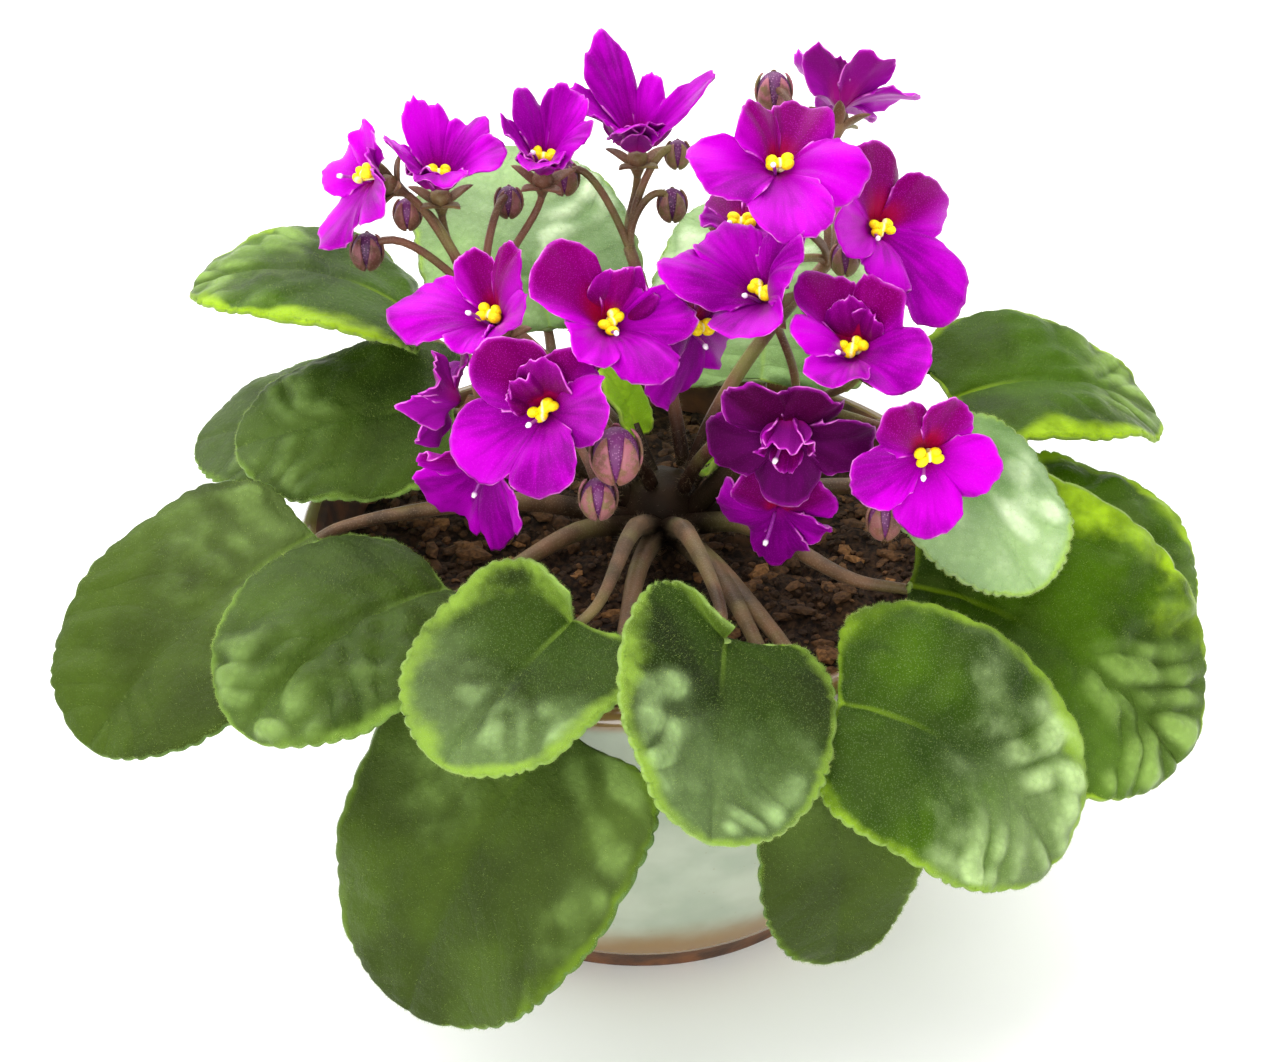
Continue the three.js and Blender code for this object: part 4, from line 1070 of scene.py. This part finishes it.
soft = {"Sheen_Weight": 0.12, "Sheen_Roughness": 0.3, "Sheen_Tint": colour("#ff20f5")}
glow = {"Subsurface_Weight": 0.25, "Subsurface_Radius": (1.0, 0.1, 1.0), "Subsurface_Scale": 1 * MM}
shine = {"Roughness": 0.42, "Specular_IOR_Level": 0.2, "Specular_Tint": colour("#f040f0")}
PETAL_SKIN = finish_of("petal_skin", petal_skin, **shine, **soft, **glow)
STYLE_SKIN = finish_of("style_skin", style_skin, Roughness=0.4, Specular_IOR_Level=0.4)
for order, bloom in enumerate(blooms, 1):
    bloom["ruddy"] = PLAIN_RED if order in PLAIN_BLOOMS else 1.0
    corolla = bmesh.new()
    for form in petals_of(bloom, order):
        sheet(corolla, *PETAL_SHEET, form, PETAL_MARKS)
    show(f"bloom_{order:02d}_corolla", corolla, PETAL_SKIN, "petal", f"bloom_{order:02d}")
    line = [bloom["place"](far * MM, STYLE_ANGLE, height * MM) for far, height in STYLE_LINE]
    line = bezier(line, len(STYLE_RADII) - 1)
    style = bmesh.new()
    add_stems(style, [(line, STYLE_RADII)])
    tip, whole = style.verts.layers.float.new("tip"), line[-1] - line[0]
    for vert in style.verts:
        vert[tip] = (vert.co - line[0]).dot(whole) / whole.length_squared
    show(f"bloom_{order:02d}_style", style, STYLE_SKIN, "petal")

# The anthers are two pairs of fat bright yellow lobes, joined in the middle and a little different in every
# bloom, on short pale filaments. Blooms 13 and 19 are only half open and show none.
ANTHER_HEIGHT, ANTHER_WAIST, HALF_OPEN = 2 * MM, 0.5 * MM, (13, 19)
ANTHER_LOBES = [(-1.45, 0.6), (-1.2, -0.65), (1.2, 0.7), (1.45, -0.5)]
YOLK, YOLK_DEEP, WAIST = "#ffe800", "#f2c200", "#f6eeb8"


def pollen(tree):
    grain = texture(tree, "Noise", 2600, Detail=4.0)
    body = tint(ramp(grain, 0.35, 0.7), YOLK, YOLK_DEEP)
    body = tint(ramp(mark(tree, "waist"), 0.3, 1.0), body, WAIST)
    return {"Base Color": body, "Normal": bump(grain, 0.5, 0.2 * MM)}


glow = {"Subsurface_Weight": 0.15, "Subsurface_Radius": (1.0, 0.8, 0.1), "Subsurface_Scale": 0.6 * MM}
POLLEN = finish_of("pollen", pollen, Roughness=0.55, Specular_IOR_Level=0.35, **glow)
draw = random.Random(23)
for order, bloom in enumerate(blooms, 1):
    if order in HALF_OPEN:
        continue
    centre, (side, up, out) = bloom["centre"], bloom["axes"]
    turned = Matrix((side, up, out)).transposed().to_4x4()
    lean = draw.uniform(-0.7, 0.7)
    anthers = bmesh.new()
    stems = []
    for across, above in ANTHER_LOBES:
        across, above = across * cos(lean) - above * sin(lean), above * cos(lean) + across * sin(lean)
        across, above = across + draw.uniform(-0.2, 0.2), above + draw.uniform(-0.3, 0.3)
        height = ANTHER_HEIGHT + draw.uniform(-0.3, 0.3) * MM
        spot = centre + side * across * MM + up * above * MM + out * height
        spun = turned @ Matrix.Rotation(draw.uniform(-0.6, 0.6), 4, "Z")
        lobe = Matrix.Diagonal((draw.uniform(1, 1.2), draw.uniform(0.75, 0.95), 1.1, 1))
        form = Matrix.Translation(spot) @ spun @ lobe
        bmesh.ops.create_uvsphere(anthers, u_segments=14, v_segments=10, radius=1 * MM, matrix=form)
        line = bezier([bloom["place"](0.5 * MM, 90 - 30 * across, -0.8 * MM), spot - out * 0.5 * MM], 4)
        stems.append((line, tapered(line, 0.5 * MM, 0.4 * MM)))
    joint = Matrix.Translation(centre + out * (ANTHER_HEIGHT - 0.2 * MM))
    joint = joint @ turned @ Matrix.Diagonal((1.1, 0.9, 0.8, 1))
    bmesh.ops.create_uvsphere(anthers, u_segments=12, v_segments=8, radius=1 * MM, matrix=joint)
    add_stems(anthers, stems)
    waist = anthers.verts.layers.float.new("waist")
    for vert in anthers.verts:
        spot = vert.co - centre
        vert[waist] = max(1 - spot.dot(out) / (1.2 * MM), 1 - abs(spot.dot(side)) / ANTHER_WAIST)
    show(f"stamens_{order:02d}_anthers", anthers, POLLEN, "anther", f"stamens_{order:02d}")

# The floor is plain and white. The light is a pale sky, a large soft panel above the plant and a little to
# the left and behind it, and a smaller, weaker one in front.
FLOOR_SIZE = 6.0
CAMERA_ELEVATION, CAMERA_DISTANCE, LOOKED_AT = radians(32), 0.56, Vector((0, 0, 69.6 * MM))
LENS = 86.37


def paper(tree):
    return {"Base Color": tint(ramp(texture(tree, "Noise", 30, Detail=2.0), 0.3, 0.7), "#fdfdfc", "#fafaf9")}


plane = bmesh.new()
bmesh.ops.create_grid(plane, x_segments=8, y_segments=8, size=FLOOR_SIZE / 2)
floor_mesh = bpy.data.meshes.new("floor")
plane.to_mesh(floor_mesh)
plane.free()
floor_mesh.materials.append(finish_of("floor_paper", paper, Roughness=0.8))
ground = bpy.data.objects.new("floor", floor_mesh)
bpy.context.scene.collection.objects.link(ground)

world = bpy.data.worlds.new("pale_sky")
world.use_nodes = True
sky = world.node_tree.nodes["Background"].inputs
sky["Color"].default_value = (1, 1, 1, 1)
sky["Strength"].default_value = 1.0
bpy.context.scene.world = world


def panel(name, place, size, power):
    """A soft square light that looks at the plant."""
    light = bpy.data.lights.new(name, "AREA")
    light.size = size
    light.energy = power
    lamp = bpy.data.objects.new(name, light)
    lamp.location = place
    lamp.rotation_euler = (LOOKED_AT - Vector(place)).to_track_quat("-Z", "Y").to_euler()
    bpy.context.scene.collection.objects.link(lamp)


panel("window", (-0.3, 0.35, 1.2), size=2.0, power=34)
panel("room", (-0.3, -1.5, 0.65), size=1.0, power=18)

back = Vector((0, -cos(CAMERA_ELEVATION), sin(CAMERA_ELEVATION)))
lens = bpy.data.cameras.new("camera")
lens.lens = LENS
camera = bpy.data.objects.new("camera", lens)
camera.location = LOOKED_AT + back * CAMERA_DISTANCE
camera.rotation_euler = (radians(90) - CAMERA_ELEVATION, 0, 0)
bpy.context.scene.collection.objects.link(camera)
bpy.context.scene.camera = camera
bpy.context.scene.view_settings.view_transform = "Standard"
